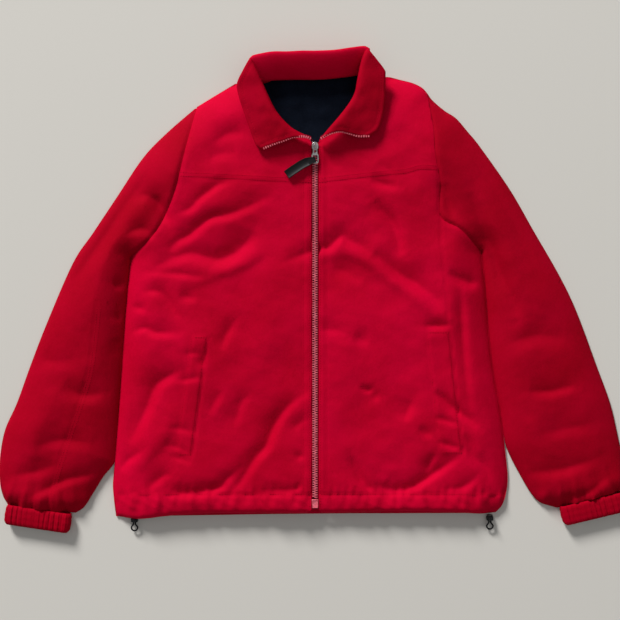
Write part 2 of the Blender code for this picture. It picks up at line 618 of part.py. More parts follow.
clear_scene()
PARTS = bpy.data.collections.new("foul_weather_jacket")
bpy.context.scene.collection.children.link(PARTS)
back(LEFT, RIGHT)
collar_back()
for word, side in SIDES.items():
    front(word, side)
    body_side(word, side)
    collar_leaf(word, side)
    sleeve(word, side)
    cord_end(word, side)
zip_slider()
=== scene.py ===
"""The looks of a foul weather jacket that lies on its back, zip closed, collar folded open.

Metres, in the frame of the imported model. Left is -X, as seen from the front.
"""
import math

import bmesh
import bpy
import numpy as np
from mathutils import Matrix, Vector


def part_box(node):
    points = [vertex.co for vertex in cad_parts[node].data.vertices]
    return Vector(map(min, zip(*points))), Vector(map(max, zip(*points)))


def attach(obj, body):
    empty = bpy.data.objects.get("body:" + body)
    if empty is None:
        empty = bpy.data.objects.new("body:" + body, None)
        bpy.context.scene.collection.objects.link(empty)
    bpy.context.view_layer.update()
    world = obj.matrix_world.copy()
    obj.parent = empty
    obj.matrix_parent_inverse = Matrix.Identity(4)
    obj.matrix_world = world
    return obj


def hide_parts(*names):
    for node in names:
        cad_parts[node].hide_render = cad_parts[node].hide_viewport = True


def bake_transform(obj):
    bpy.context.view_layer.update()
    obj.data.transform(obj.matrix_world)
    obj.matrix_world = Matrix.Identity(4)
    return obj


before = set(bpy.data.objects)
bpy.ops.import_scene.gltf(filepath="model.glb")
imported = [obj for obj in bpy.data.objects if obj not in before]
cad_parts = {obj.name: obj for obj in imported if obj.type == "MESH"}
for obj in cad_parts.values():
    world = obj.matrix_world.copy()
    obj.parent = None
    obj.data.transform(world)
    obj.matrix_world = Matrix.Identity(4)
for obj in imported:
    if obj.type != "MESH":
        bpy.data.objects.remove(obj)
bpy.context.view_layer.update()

# Sizes in metres
CELL = 0.0034            # spacing of the cloth's mesh
CLOTH = 0.0014
HEM_LEVEL, COLLAR_LEVEL = 0.019, 0.028
HEM_Y, COLLAR_Y = -0.35, 0.33
RIM_HEIGHT = 0.0022      # height of the cloth at a folded edge
RISE = 0.056             # how far from a folded edge the cloth reaches its full height
HEM_SEAM_Y = -0.32
CASING = 0.03           # height of the hem's casing
PLACKET_X = 0.0058       # the placket's edge at the zip
PLACKET_ROW = 0.0185     # the placket's row of stitches
STITCH, STITCH_GAP, THREAD = 0.0026, 0.0014, 0.00045
LEAF_STITCH = 0.007     # from a collar leaf's edge to its row of stitches
TOOTH_PITCH = 0.0037
LINING_DROP = 0.01

# The outlines hold at height OUTLINE_Z seen from EYE; a point at another height moves along that sight line.
EYE, OUTLINE_Z = (-0.0079, -0.0299, 1.57), 0.02

HINGE_TOP, HINGE_FOOT = Vector((0.122, 0.35, 0.034)), Vector((0.252, -0.357, 0.021))

LEFT = {
    "sign": -1,
    "shoulder": [(-0.1256, 0.325), (-0.1492, 0.3109), (-0.1853, 0.2889)],
    "armhole": [(-0.1853, 0.2889), (-0.2041, 0.2214), (-0.2221, 0.1507), (-0.2481, 0.0958),
        (-0.2889, 0.0518)],
    "side": [(-0.2889, 0.0518), (-0.2936, 0.0094), (-0.2983, -0.0455), (-0.3046, -0.1397), (-0.3093, -0.2025),
        (-0.3156, -0.281), (-0.3187, -0.3124), (-0.315, -0.3564)],
    "hem": [(-0.315, -0.3564), (-0.2779, -0.3595), (-0.2182, -0.3533), (-0.1413, -0.3501),
        (-0.06, -0.3501), (-0.0118, -0.3495)],
    "sleeve_outer": [(-0.1853, 0.2889), (-0.2324, 0.2481), (-0.27, 0.2088), (-0.3109, 0.1476),
        (-0.3485, 0.0911), (-0.3799, 0.044), (-0.4208, -0.0502), (-0.4475, -0.1193), (-0.4679, -0.1758),
        (-0.4867, -0.2182), (-0.4945, -0.2606), (-0.4961, -0.2967), (-0.4935, -0.3234), (-0.486, -0.3395)],
    "sleeve_inner": [(-0.2889, 0.0518), (-0.2936, 0.0094), (-0.2983, -0.0455), (-0.3016, -0.1),
        (-0.3046, -0.1397), (-0.3093, -0.2025), (-0.312, -0.24), (-0.315, -0.269), (-0.3328, -0.292),
        (-0.3501, -0.3187), (-0.3658, -0.342), (-0.379, -0.351)],
    "swing": ((-0.3645, 0.068), (-0.2935, 0.04)),
    "elbow": ((-0.4225, -0.0575), (-0.307, -0.1)),
    "cuff": ((-0.4378, -0.3597), -8.5, 0.103),
    "neckline": [(-0.0058, 0.237), (-0.02, 0.244), (-0.04, 0.253), (-0.056, 0.268),
        (-0.075, 0.298), (-0.098, 0.323), (-0.1256, 0.325)],
    "yoke": [(-0.0058, 0.169), (-0.06, 0.1712), (-0.12, 0.1745), (-0.179, 0.1775), (-0.2147, 0.179)],
    "leaf_outer": [(-0.103, 0.3655), (-0.1125, 0.3485), (-0.1225, 0.327), (-0.1209, 0.3093),
        (-0.113, 0.2842), (-0.1015, 0.2512), (-0.0945, 0.2325), (-0.089, 0.225), (-0.0824, 0.223)],
    "leaf_front": [(-0.0824, 0.223), (-0.0675, 0.2292), (-0.0487, 0.2355), (-0.0345, 0.2402),
        (-0.015, 0.2408), (-0.0031, 0.2365)],
    "leaf_roll": [(-0.0031, 0.2365), (-0.0104, 0.2427), (-0.026, 0.2504), (-0.0384, 0.2582),
        (-0.0539, 0.2738), (-0.0663, 0.2923), (-0.0819, 0.3265), (-0.093, 0.352), (-0.1, 0.365),
        (-0.103, 0.3655)],
    "pocket": ((-0.1696, -0.0738), (-0.1947, -0.2575)),
    "welt": -0.0235,
    "arm_seam": [(-0.343, -0.015), (-0.3533, -0.1083), (-0.3658, -0.1601), (-0.3894, -0.2292),
        (-0.4113, -0.2967), (-0.42, -0.33)],
    "cord": (-0.2861, -0.3567),
}
RIGHT = {
    "sign": 1,
    "shoulder": [(0.118, 0.3355), (0.135, 0.331), (0.1535, 0.3262), (0.168, 0.319), (0.1765, 0.31)],
    "armhole": [(0.1765, 0.31), (0.185, 0.2606), (0.1884, 0.2151), (0.1963, 0.1711), (0.1972, 0.1178),
        (0.23, 0.0958), (0.2606, 0.0612)],
    "side": [(0.2606, 0.0612), (0.2653, 0.0251), (0.2732, -0.0707), (0.2795, -0.124), (0.2905, -0.1868),
        (0.2983, -0.2496), (0.303, -0.2967), (0.3015, -0.32), (0.296, -0.338), (0.2857, -0.3501)],
    "hem": [(0.2857, -0.3501), (0.2638, -0.3517), (0.2104, -0.3485), (0.1335, -0.347), (0.0393, -0.3495),
        (0.0105, -0.3498)],
    "sleeve_outer": [(0.1765, 0.31), (0.1845, 0.299), (0.2032, 0.283), (0.2218, 0.2706), (0.2404, 0.249),
        (0.2591, 0.2261), (0.3062, 0.1586), (0.3423, 0.0958), (0.3847, 0.022), (0.4113, -0.0345),
        (0.4427, -0.1193), (0.4632, -0.1758), (0.4757, -0.2292), (0.4867, -0.281), (0.4915, -0.312)],
    "sleeve_inner": [(0.2606, 0.0612), (0.2653, 0.0251), (0.2692, -0.02), (0.2732, -0.0707),
        (0.2795, -0.124), (0.2905, -0.1868), (0.2975, -0.235), (0.3075, -0.262), (0.3266, -0.2967),
        (0.342, -0.32), (0.3564, -0.3345), (0.383, -0.343)],
    "swing": ((0.352, 0.0785), (0.265, 0.048)),
    "elbow": ((0.419, -0.055), (0.2815, -0.105)),
    "cuff": ((0.4412, -0.3436), 13.5, 0.1035),
    "neckline": [(0.0058, 0.237), (0.02, 0.247), (0.043, 0.266), (0.062, 0.295), (0.085, 0.328),
        (0.118, 0.3355)],
    "yoke": [(0.0058, 0.169), (0.091, 0.179), (0.1397, 0.1837), (0.1664, 0.19), (0.193, 0.189)],
    "leaf_outer": [(0.0838, 0.38), (0.097, 0.364), (0.1095, 0.347), (0.1108, 0.3376), (0.1093, 0.2952),
        (0.105, 0.27), (0.1, 0.256), (0.0935, 0.2485), (0.085, 0.2432)],
    "leaf_front": [(0.085, 0.2432), (0.0675, 0.243), (0.051, 0.2474), (0.0367, 0.2492), (0.0197, 0.2442),
        (0.0063, 0.2371)],
    "leaf_roll": [(0.0063, 0.2371), (0.015, 0.248), (0.0455, 0.2842), (0.0612, 0.3093), (0.0665, 0.3344),
        (0.0725, 0.362), (0.079, 0.3775), (0.0838, 0.38)],
    "pocket": ((0.2104, -0.0659), (0.2308, -0.2543)),
    "welt": -0.0345,
    "side_seam": [(0.1973, 0.113), (0.1994, 0.0671), (0.2061, 0.001), (0.2083, -0.0431), (0.2104, -0.064)],
    "cord": (0.2771, -0.3542),
}
SIDES = {"left": LEFT, "right": RIGHT}

# Folds in the cloth, in millimetres: points along the fold, its half width and its depth.
# A negative depth is a ridge.
FOLDS = [
    ([(-228, 58), (-225, 69), (-214, 80), (-197, 89), (-179, 105), (-161, 116), (-140, 120), (-118, 127),
      (-95, 138), (-73, 149)], 9.5, 4.4),
    ([(-214, 124), (-197, 129), (-183, 144), (-166, 157), (-150, 168), (-133, 172)], 7, 3.4),
    ([(-263, 31), (-239, 44), (-201, 59), (-170, 54), (-150, 50), (-126, 60), (-106, 79), (-95, 98)], 13, 4.4),
    ([(-263, 30), (-214, 27), (-170, 21)], 6, 2),
    ([(-205, 12), (-160, 28), (-110, 46), (-80, 70)], 12, -1.6),
    ([(-269, -1), (-245, -1), (-228, -21), (-214, -47)], 7, 3),
    ([(-289, -23), (-265, -30)], 6, 2.4),
    ([(-291, -65), (-267, -58), (-250, -65), (-214, -67)], 7, 3),
    ([(-214, -8), (-186, -12)], 8, 2),
    ([(-124, -43), (-140, -69), (-148, -94)], 8, 2.2),
    ([(-51, 45), (-29, 54), (6, 67), (21, 69), (32, 79), (43, 87), (56, 78), (76, 69), (96, 54)], 9, 3.4),
    ([(85, 62), (114, 41), (131, 28), (158, 12), (184, -8), (206, -36)], 12, 4.6),
    ([(21, 56), (52, 60), (85, 46), (107, 30), (140, 6), (173, -24), (204, -44)], 10, -2.2),
    ([(25, 34), (52, 30), (74, 12)], 12, 1.8),
    ([(92, 146), (103, 129), (118, 111), (127, 89), (133, 67), (140, 54)], 10, 4.6),
    ([(85, 177), (108, 168), (131, 164)], 8, 2.6),
    ([(206, 30), (239, 14), (259, 13)], 10, 3.4),
    ([(170, -54), (190, -55), (213, -54)], 6, 2.8),
    ([(226, 10), (229, -20), (231, -60), (236, -130), (245, -200)], 8, 3.4),
    ([(244, 162), (252, 129), (266, 89), (279, 54), (294, 19), (312, -21), (317, -46)], 13, 4.8),
    ([(200, 171), (206, 144), (219, 111)], 8, 3.2),
    ([(-210, -125), (-227, -132), (-250, -149), (-265, -185), (-280, -216), (-294, -244)], 12, 4.8),
    ([(-271, -249), (-294, -266), (-307, -282)], 8, 3.2),
    ([(-227, -284), (-245, -295), (-265, -312)], 7, 2.2),
    ([(-222, -200), (-250, -240), (-290, -285)], 14, -1.8),
    ([(-16, -160), (-42, -180), (-64, -211), (-78, -244), (-95, -264), (-117, -299), (-128, -312)], 9, 4.6),
    ([(-117, -277), (-139, -295), (-150, -308), (-183, -315), (-214, -316), (-228, -308)], 8, 4),
    ([(-23, -299), (-34, -312), (-95, -314)], 6, 2.4),
    ([(-20, -255), (-29, -266)], 6, 2),
    ([(-15, -200), (-36, -217)], 7, 1.4),
    ([(-148, -156), (-168, -194)], 8, 2),
    ([(-104, -163), (-117, -176), (-128, -216)], 9, 2),
    ([(-206, -99.7), (-190, -98), (-172, -100)], 4, 1.2),
    ([(-218, -140), (-198, -138.6), (-179, -135)], 5, 1.8),
    ([(-233, -214), (-210, -217), (-188, -223)], 5, 1.5),
    ([(-236, -242), (-214, -246), (-195, -258)], 5, 1.6),
    ([(-230, -258), (-208, -264), (-194, -272)], 5, 1.4),
    ([(-175, -98), (-176, -108), (-179, -122)], 5, 2.2),
    ([(70, -149), (83, -156), (92, -152)], 5, 2.4),
    ([(92, -156), (97, -173)], 6, 1.6),
    ([(151, -171), (140, -204)], 9, 2.2),
    ([(129, -210), (138, -245), (140, -280)], 22, 1.8),
    ([(184, -156), (202, -169), (219, -185), (239, -200), (259, -218)], 7, 3.8),
    ([(228, -229), (241, -238), (250, -260), (266, -277), (277, -308)], 9, 3.4),
    ([(188, -198), (205, -203), (226, -211)], 5, 2.2),
    ([(162, -215), (184, -229)], 6, 1.8),
    ([(193, -236), (212, -243), (230, -248)], 5, 2.4),
    ([(228, -257), (206, -273), (184, -288), (162, -303), (140, -312), (107, -310), (96, -295)], 8, 4.2),
    ([(54, -257), (65, -282), (80, -306), (96, -314)], 6, 3.2),
    ([(188, -255), (173, -284)], 6, 2.2),
    ([(255, -290), (232, -308), (195, -313)], 7, 2.4),
    ([(12, -62), (30, -60), (50, -68)], 9, 1.6),
    ([(60, -70), (85, -82)], 9, 1.8),
    ([(-252, 152), (-243, 130), (-232, 104)], 9, 2.8),
    ([(-160, 232), (-140, 246), (-112, 250)], 12, 2.2),
    ([(-170, 205), (-150, 215), (-118, 217)], 12, 1.8),
    ([(100, 205), (112, 192), (128, 186)], 10, 1.4),
    ([(-262, 190), (-310, 120), (-350, 60), (-392, 4)], 16, 3.4),
    ([(-285, 145), (-262, 150), (-240, 130), (-228, 96)], 11, 4),
    ([(-300, 90), (-272, 98), (-252, 86)], 9, 3.4),
    ([(-318, 12), (-300, 10), (-294, 23)], 8, 3.4),
    ([(-314, -41), (-302, -41)], 7, 2.4),
    ([(-309, -71), (-304, -90), (-302, -105)], 7, 3.4),
    ([(-396, -144), (-369, -163), (-330, -160)], 12, 3.2),
    ([(-450, -90), (-415, -110), (-370, -105)], 15, 2.4),
    ([(-443, -245), (-400, -234), (-350, -240)], 13, 3.2),
    ([(-452, -325), (-424, -312), (-392, -297), (-345, -286)], 9, 3.6),
    ([(-480, -290), (-440, -284), (-400, -270)], 11, 2.6),
    ([(215, 255), (262, 190), (310, 110), (350, 30)], 18, 2.4),
    ([(334, -157), (369, -157), (410, -148)], 10, 3.2),
    ([(300, -85), (345, -70), (395, -75)], 16, 2.6),
    ([(385, -330), (427, -318), (460, -290)], 9, 3.4),
    ([(330, -285), (385, -280), (447, -262)], 12, 3),
    ([(345, -225), (400, -215), (450, -205)], 15, 2.2),
]
FOLD_GAIN = 1.95
LEAN = np.array([-0.7, 0.7])     # folds are wider on their upper left side


# ---- outlines and heights ----

def smooth(points, per=8):
    """A smooth curve through the given points."""
    p = np.array(points, float)
    p = np.vstack([2 * p[0] - p[1], p, 2 * p[-1] - p[-2]])
    t = np.linspace(0, 1, per, endpoint=False)[:, None]
    spans = []
    for a, b, c, d in zip(p, p[1:], p[2:], p[3:]):
        spans.append(0.5 * (2 * b + (c - a) * t + (2 * a - 5 * b + 4 * c - d) * t ** 2
                            + (3 * b - a - 3 * c + d) * t ** 3))
    spans.append(p[-2][None])
    return np.vstack(spans)


def measured(line):
    """The distance along a line of points at each of its points."""
    return np.concatenate([[0], np.cumsum(np.hypot(*np.diff(line, axis=0).T))])


def closest(points, line):
    """Distance to a line of points, the nearest place on it, and how far along it, 0 to 1."""
    best = np.full(len(points), np.inf)
    place = np.zeros((len(points), 2))
    along = np.zeros(len(points))
    count = len(line) - 1
    for i in range(count):
        a, b = line[i], line[i + 1]
        span = b - a
        t = np.clip(((points - a) @ span) / max(span @ span, 1e-12), 0, 1)
        near = a + t[:, None] * span
        gap = np.hypot(*(points - near).T)
        closer = gap < best
        best = np.where(closer, gap, best)
        place[closer] = near[closer]
        along[closer] = ((i + t) / count)[closer]
    return best, place, along


def inside(points, outline):
    """Which points lie inside a closed outline."""
    x, y = points.T
    result = np.zeros(len(points), bool)
    for (x0, y0), (x1, y1) in zip(outline, np.roll(outline, -1, axis=0)):
        if y0 == y1:
            continue
        crosses = ((y0 > y) != (y1 > y)) & (x < (x1 - x0) * (y - y0) / (y1 - y0) + x0)
        result ^= crosses
    return result


def level(y):
    return HEM_LEVEL + (COLLAR_LEVEL - HEM_LEVEL) * (y - HEM_Y) / (COLLAR_Y - HEM_Y)


def waves(points, seed, length, count=26, heading=None, spread=0.5):
    """Smooth noise about -1 to 1, from plane waves near one wavelength."""
    rng = np.random.default_rng(seed)
    total = np.zeros(len(points))
    for _ in range(count):
        angle = rng.uniform(0, 2 * math.pi) if heading is None else heading + rng.normal(0, spread)
        k = 2 * math.pi / (length * rng.uniform(0.65, 1.6))
        total += np.sin(k * (points[:, 0] * math.cos(angle) + points[:, 1] * math.sin(angle))
                        + rng.uniform(0, 2 * math.pi))
    return total / math.sqrt(count / 2) / 1.6


def folds(points):
    """Depth of the listed folds."""
    depth = np.zeros(len(points))
    for line, width, deep in FOLDS:
        curve, width, deep = smooth(np.array(line) / 1000, 6), width / 1000, deep / 1000
        low, high = curve.min(0) - 4 * width, curve.max(0) + 4 * width
        near = np.all((points > low) & (points < high), axis=1)
        if not near.any():
            continue
        gap, place, along = closest(points[near], curve)
        across = (points[near] - place) @ LEAN
        taper = np.sin(np.pi * np.clip(along, 0.03, 0.97)) ** 0.7
        t = gap / (width * (1.15 + 0.45 * np.tanh(across / width)))
        crease = np.exp(-t ** 2) if deep < 0 else 0.5 * np.exp(-t ** 2) + 0.5 * np.exp(-1.3 * t)
        depth[near] += FOLD_GAIN * deep * taper * crease
    return depth


RIM_LINES = []
for half in (LEFT, RIGHT):
    RIM_LINES.append(smooth(half["shoulder"] + half["sleeve_outer"][1:], 5))
    RIM_LINES.append(smooth(half["side"], 5))
    RIM_LINES.append(smooth(half["sleeve_inner"], 5))


def rim_distance(points):
    gap = np.full(len(points), np.inf)
    for line in RIM_LINES:
        gap = np.minimum(gap, closest(points, line)[0])
    return gap


def plain_top(points, gap):
    """Height of the jacket's upper surface before any fold."""
    share = np.sin(np.clip(gap / RISE, 0, 1) * np.pi / 2) ** 0.66
    return RIM_HEIGHT + (level(points[:, 1]) + 0.0016 - RIM_HEIGHT) * share


def cloth_top(points):
    """Height of the jacket's upper surface."""
    gap = rim_distance(points)
    z = plain_top(points, gap)
    calm = np.clip(gap / 0.05, 0.15, 1)
    z += 0.002 * calm * waves(points, 3, 0.15)
    z += 0.0008 * calm * waves(points, 7, 0.07)
    z += 0.00022 * calm * waves(points, 11, 0.028)
    z += 0.00008 * waves(points, 13, 0.012)
    z -= folds(points) * np.clip(gap / 0.02, 0.2, 1)
    z -= seam_depth(points)
    return z


def hump(distance, width):
    return np.exp(-(distance / width) ** 2)


def groove(points, line, width, depth):
    return depth * hump(closest(points, line)[0], width)


def seam_depth(points):
    """The dents along the sewn seams."""
    depth = np.zeros(len(points))
    for side in (LEFT, RIGHT):
        sign = side["sign"]
        near = points[:, 0] * sign > -0.01
        p = points[near]
        yoke = smooth(side["yoke"], 5)
        d = groove(p, yoke, 0.0016, 0.0007)
        d -= groove(p, yoke + [0, 0.0045], 0.0035, 0.0004)
        d *= np.clip((0.205 - np.abs(p[:, 0])) / 0.02, 0, 1)
        armhole = smooth(side["armhole"], 5)
        fade = np.clip((0.3 - p[:, 1]) / 0.12, 0.25, 1)
        d += groove(p, armhole, 0.003, 0.0022) * fade
        d += groove(p, armhole + [sign * 0.008, 0], 0.009, -0.001) * fade
        seam = np.array([(sign * PLACKET_X, HEM_SEAM_Y), (sign * 0.32, HEM_SEAM_Y - 0.001)])
        d += groove(p, seam, 0.0024, 0.0013) * np.clip((0.245 - np.abs(p[:, 0])) / 0.03, 0, 1)
        placket = np.array([(sign * PLACKET_ROW, 0.232), (sign * PLACKET_ROW, HEM_SEAM_Y)])
        d += groove(p, placket, 0.0016, 0.0008)
        d -= groove(p, placket - [sign * 0.006, 0], 0.0045, 0.0007)
        depth[near] += d
    near = points[:, 0] < -0.3
    depth[near] += groove(points[near], smooth(LEFT["arm_seam"]), 0.0018, 0.0011)
    near = points[:, 0] > 0.18
    depth[near] += groove(points[near], smooth(RIGHT["side_seam"]), 0.0017, 0.0012)
    return depth


# ---- meshes ----

def patch(outline, cell=CELL, corners=()):
    """Quads that fill an outline, with their edge moved on to it."""
    low, high = outline.min(0) - 1.5 * cell, outline.max(0) + 1.5 * cell
    nx, ny = (int(n) + 1 for n in np.ceil((high - low) / cell))
    xs, ys = low[0] + cell * np.arange(nx), low[1] + cell * np.arange(ny)
    points = np.stack(np.meshgrid(xs, ys, indexing="ij"), -1).reshape(-1, 2)
    kept = inside(points, outline)
    index = np.arange(nx * ny).reshape(nx, ny)
    quads = np.stack([index[:-1, :-1], index[1:, :-1], index[1:, 1:], index[:-1, 1:]], -1).reshape(-1, 4)
    quads = quads[kept[quads].any(axis=1)]
    used, quads = np.unique(quads, return_inverse=True)
    quads = quads.reshape(-1, 4)
    points, kept = points[used], kept[used]
    ring = np.vstack([outline, outline[:1]])
    border = ~kept
    for corner in np.array(corners).reshape(-1, 2):
        nearest = np.argmin(np.hypot(*(points - corner).T))
        points[nearest] = corner
        kept[nearest] = True
        border[nearest] = False
    if border.any():
        points[border] = closest(points[border], ring)[1]
    return points, quads


def seen(points, z):
    """Moves points along their sight line from the outlines' height to their own."""
    share = np.clip((points[:, 1] + 0.345) / 0.06, 0.2, 1.0)
    scale = 1 + share * ((EYE[2] - z) / (EYE[2] - OUTLINE_Z) - 1)
    return EYE[:2] + (points - EYE[:2]) * scale[:, None]


def reshape(mesh, *steps):
    """Runs steps on a mesh as a bmesh."""
    bm = bmesh.new()
    bm.from_mesh(mesh)
    for step in steps:
        step(bm)
    bm.to_mesh(mesh)
    bm.free()


def outward(bm):
    bmesh.ops.recalc_face_normals(bm, faces=bm.faces)


def merge(bm):
    bmesh.ops.remove_doubles(bm, verts=bm.verts, dist=2e-5)
    bmesh.ops.dissolve_degenerate(bm, edges=bm.edges, dist=2e-5)


def build(name, verts, faces, *steps, sharp=None):
    """A smooth mesh object, with hard edges where its faces meet at more than `sharp` degrees."""
    mesh = bpy.data.meshes.new(name)
    mesh.from_pydata(verts, [], faces)
    if steps:
        reshape(mesh, *steps)
    mesh.shade_smooth()
    if sharp:
        mesh.set_sharp_from_angle(angle=math.radians(sharp))
    return add(name, mesh)


def solid(name, points, z, quads, thick=CLOTH, under=None):
    """A sheet of cloth `thick` deep with closed edges. under, where given, is its lower surface."""
    count = len(points)
    low = z - thick if under is None else under
    points = seen(points, z)
    co = np.vstack([np.column_stack([points, z]), np.column_stack([points, low])])
    edges = {(a, b): True for quad in quads for a, b in zip(quad, np.roll(quad, -1))}
    rim = [(a, b) for a, b in edges if (b, a) not in edges]
    faces = [tuple(q) for q in quads] + [tuple(q[::-1] + count) for q in quads]
    faces += [(b, a, a + count, b + count) for a, b in rim]
    return build(name, co.tolist(), [[int(i) for i in f] for f in faces], merge, outward, sharp=70)


def add(name, mesh):
    obj = bpy.data.objects.new(name, mesh)
    bpy.context.scene.collection.objects.link(obj)
    return obj


def bands(rows, across, closed):
    """The quads between rows of points, each row `across` points long."""
    faces = []
    for i in range(rows):
        for j in range(across if closed else across - 1):
            k = (j + 1) % across
            faces.append((i * across + j, i * across + k, (i + 1) * across + k, (i + 1) * across + j))
    return faces


def thicken(obj, thickness):
    shell = obj.modifiers.new("thick", "SOLIDIFY")
    shell.thickness = thickness
    shell.offset = -1


def settle(obj):
    """Applies an object's modifiers, and makes a curve a mesh."""
    bpy.context.view_layer.update()
    graph = bpy.context.evaluated_depsgraph_get()
    mesh = bpy.data.meshes.new_from_object(obj.evaluated_get(graph))
    matrix = obj.matrix_world.copy()
    name = obj.name
    bpy.data.objects.remove(obj, do_unlink=True)
    mesh.transform(matrix)
    return add(name, mesh)


def paint(obj, look):
    obj.data.materials.clear()
    obj.data.materials.append(look)


def dress(obj, look):
    paint(obj, look)
    return obj


def curve_object(name, loops, closed, **settings):
    """A curve of straight spans through each loop's points."""
    curve = bpy.data.curves.new(name, "CURVE")
    for key, value in settings.items():
        setattr(curve, key, value)
    for points in loops:
        spline = curve.splines.new("POLY")
        spline.points.add(len(points) - 1)
        for point, co in zip(spline.points, points):
            point.co = (*co, 1.0)
        spline.use_cyclic_u = closed
    return add(name, curve)


def tube(name, points, radius, sides=4):
    return curve_object(name, [points], False, dimensions="3D", bevel_depth=radius, bevel_resolution=sides,
                        use_fill_caps=True)


# ---- materials ----

class Look:
    """A node material while it is built, on the object's own coordinates."""

    def __init__(self, name, colour, rough, metal=0.0, sheen=0.0, coat=0.0, shine=0.5):
        self.material = bpy.data.materials.new(name)
        self.material.use_nodes = True
        self.tree = self.material.node_tree
        self.shader = self.tree.nodes["Principled BSDF"]
        for socket, value in (("Base Color", (*colour, 1.0)), ("Roughness", rough), ("Metallic", metal),
                              ("Sheen Weight", sheen), ("Coat Weight", coat), ("Specular IOR Level", shine)):
            self.shader.inputs[socket].default_value = value
        self.where = None

    def node(self, kind, *numbered, **named):
        """A new node. Each input is a value, or the socket that feeds it."""
        made = self.tree.nodes.new(kind)
        inputs = list(zip(made.inputs, numbered))
        inputs += [(made.inputs[name.replace("_", " ")], value) for name, value in named.items()]
        for socket, value in inputs:
            if isinstance(value, bpy.types.NodeSocket):
                self.tree.links.new(value, socket)
            else:
                socket.default_value = value
        return made

    def feed(self, source, socket):
        self.tree.links.new(source, self.shader.inputs[socket])

    def noise(self, scale, detail, rough):
        if self.where is None:
            self.where = self.node("ShaderNodeTexCoord").outputs["Object"]
        return self.node("ShaderNodeTexNoise", Vector=self.where, Scale=scale, Detail=detail,
                         Roughness=rough).outputs["Fac"]

    def math(self, kind, first, second):
        made = self.node("ShaderNodeMath", first, second)
        made.operation = kind
        return made.outputs[0]

    def mix(self, first, second, share):
        return self.math("ADD", self.math("MULTIPLY", first, 1 - share), self.math("MULTIPLY", second, share))

    def colour(self, source, stops):
        made = self.node("ShaderNodeValToRGB", Fac=source)
        while len(made.color_ramp.elements) < len(stops):
            made.color_ramp.elements.new(0.5)
        for element, (place, colour) in zip(made.color_ramp.elements, stops):
            element.position = place
            element.color = (*colour, 1.0)
        self.feed(made.outputs["Color"], "Base Color")

    def gloss(self, source, low, high):
        self.feed(self.node("ShaderNodeMapRange", Value=source, To_Min=low, To_Max=high).outputs["Result"],
                  "Roughness")

    def bump(self, height, distance, strength, **after):
        made = self.node("ShaderNodeBump", Height=height, Distance=distance, Strength=strength, **after)
        self.feed(made.outputs["Normal"], "Normal")
        return made.outputs["Normal"]

    def weave(self, scale):
        """Threads that cross over and under each other, from two waves."""
        threads = []
        for axis in ("X", "Y"):
            wave = self.node("ShaderNodeTexWave", Vector=self.where, Scale=scale, Distortion=0.6, Detail=1.0)
            wave.wave_type, wave.bands_direction, wave.wave_profile = "BANDS", axis, "SIN"
            threads.append(wave.outputs["Fac"])
        return self.math("MULTIPLY", *threads)


def cloth_material(name, dark, mid, light, rough, thread, sheen=0.0):
    """Woven cloth: slow colour drift, thread weave and fine creases."""
    look = Look(name, mid, rough, sheen=sheen, shine=0.015)
    drift = look.noise(9.0, 4.0, 0.55)
    look.colour(look.mix(drift, look.noise(260.0, 2.0, 0.6), 0.25), [(0.3, dark), (0.5, mid), (0.72, light)])
    look.gloss(drift, rough - 0.07, rough + 0.07)
    creases = look.bump(look.noise(85.0, 5.0, 0.62), 0.0006, 0.45)
    look.bump(look.weave(thread), 0.00018, 0.6, Normal=creases)
    look.shader.inputs["Sheen Roughness"].default_value = 0.45
    look.shader.inputs["Sheen Tint"].default_value = (*light, 1.0)
    return look.material


def fleece_material(name, dark, light):
    """Short tufts, in slow patches."""
    look = Look(name, light, 0.95, sheen=0.03, shine=0.05)
    pile = look.mix(look.noise(520.0, 4.0, 0.7), look.noise(40.0, 3.0, 0.5), 0.4)
    look.colour(pile, [(0.32, dark), (0.68, light)])
    look.bump(pile, 0.0012, 0.8)
    look.shader.inputs["Sheen Tint"].default_value = (0.1, 0.13, 0.2, 1.0)
    return look.material


def moulded_material(name, dark, light, rough, metal=0.0, scale=300.0, depth=0.00012, coat=0.0, shine=0.5):
    """Plastic, rubber or metal with a fine grain in its colour, gloss and surface."""
    look = Look(name, light, rough, metal, coat=coat, shine=shine)
    grain = look.noise(scale, 4.0, 0.6)
    look.colour(grain, [(0.3, dark), (0.62, light)])
    look.gloss(grain, max(rough - 0.1, 0.05), rough + 0.12)
    look.bump(grain, depth, 0.6)
    return look.material


SHELL = cloth_material("red_shell", (0.43, 0.0002, 0.0145), (0.508, 0.0003, 0.0215), (0.585, 0.0004, 0.029),
                       0.62, 700.0)
# A darker copy of the shell's red for the sleeves, cuffs and collar leaves: painted shade, for the same cloth
# lying in less light there.
SHADED_SHELL = cloth_material("red_shell_painted_shade", (0.3, 0.0002, 0.008), (0.358, 0.0003, 0.012),
                      (0.412, 0.0004, 0.0165), 0.66, 700.0)
THREAD_RED = cloth_material("red_thread", (0.36, 0.001, 0.012), (0.48, 0.002, 0.02), (0.6, 0.006, 0.03),
                            0.55, 1500.0)
FACING = cloth_material("zip_tape_cloth", (0.24, 0.001, 0.01), (0.34, 0.001, 0.016), (0.42, 0.002, 0.02),
                        0.72, 1100.0)
LINING = fleece_material("navy_fleece", (0.0016, 0.0026, 0.006), (0.0062, 0.0092, 0.018))
TEETH = moulded_material("zip_teeth_plastic", (0.46, 0.03, 0.06), (0.82, 0.17, 0.22), 0.32, coat=0.1)
METAL = moulded_material("worn_zip_metal", (0.36, 0.35, 0.34), (0.68, 0.67, 0.65), 0.3, 1.0, 420.0, 0.00008)
DARK_METAL = moulded_material("blackened_metal", (0.03, 0.03, 0.03), (0.1, 0.1, 0.1), 0.4, 1.0)
RUBBER = moulded_material("black_rubber", (0.002, 0.0022, 0.0026), (0.006, 0.0062, 0.007), 0.5, scale=900.0,
                          shine=0.22)
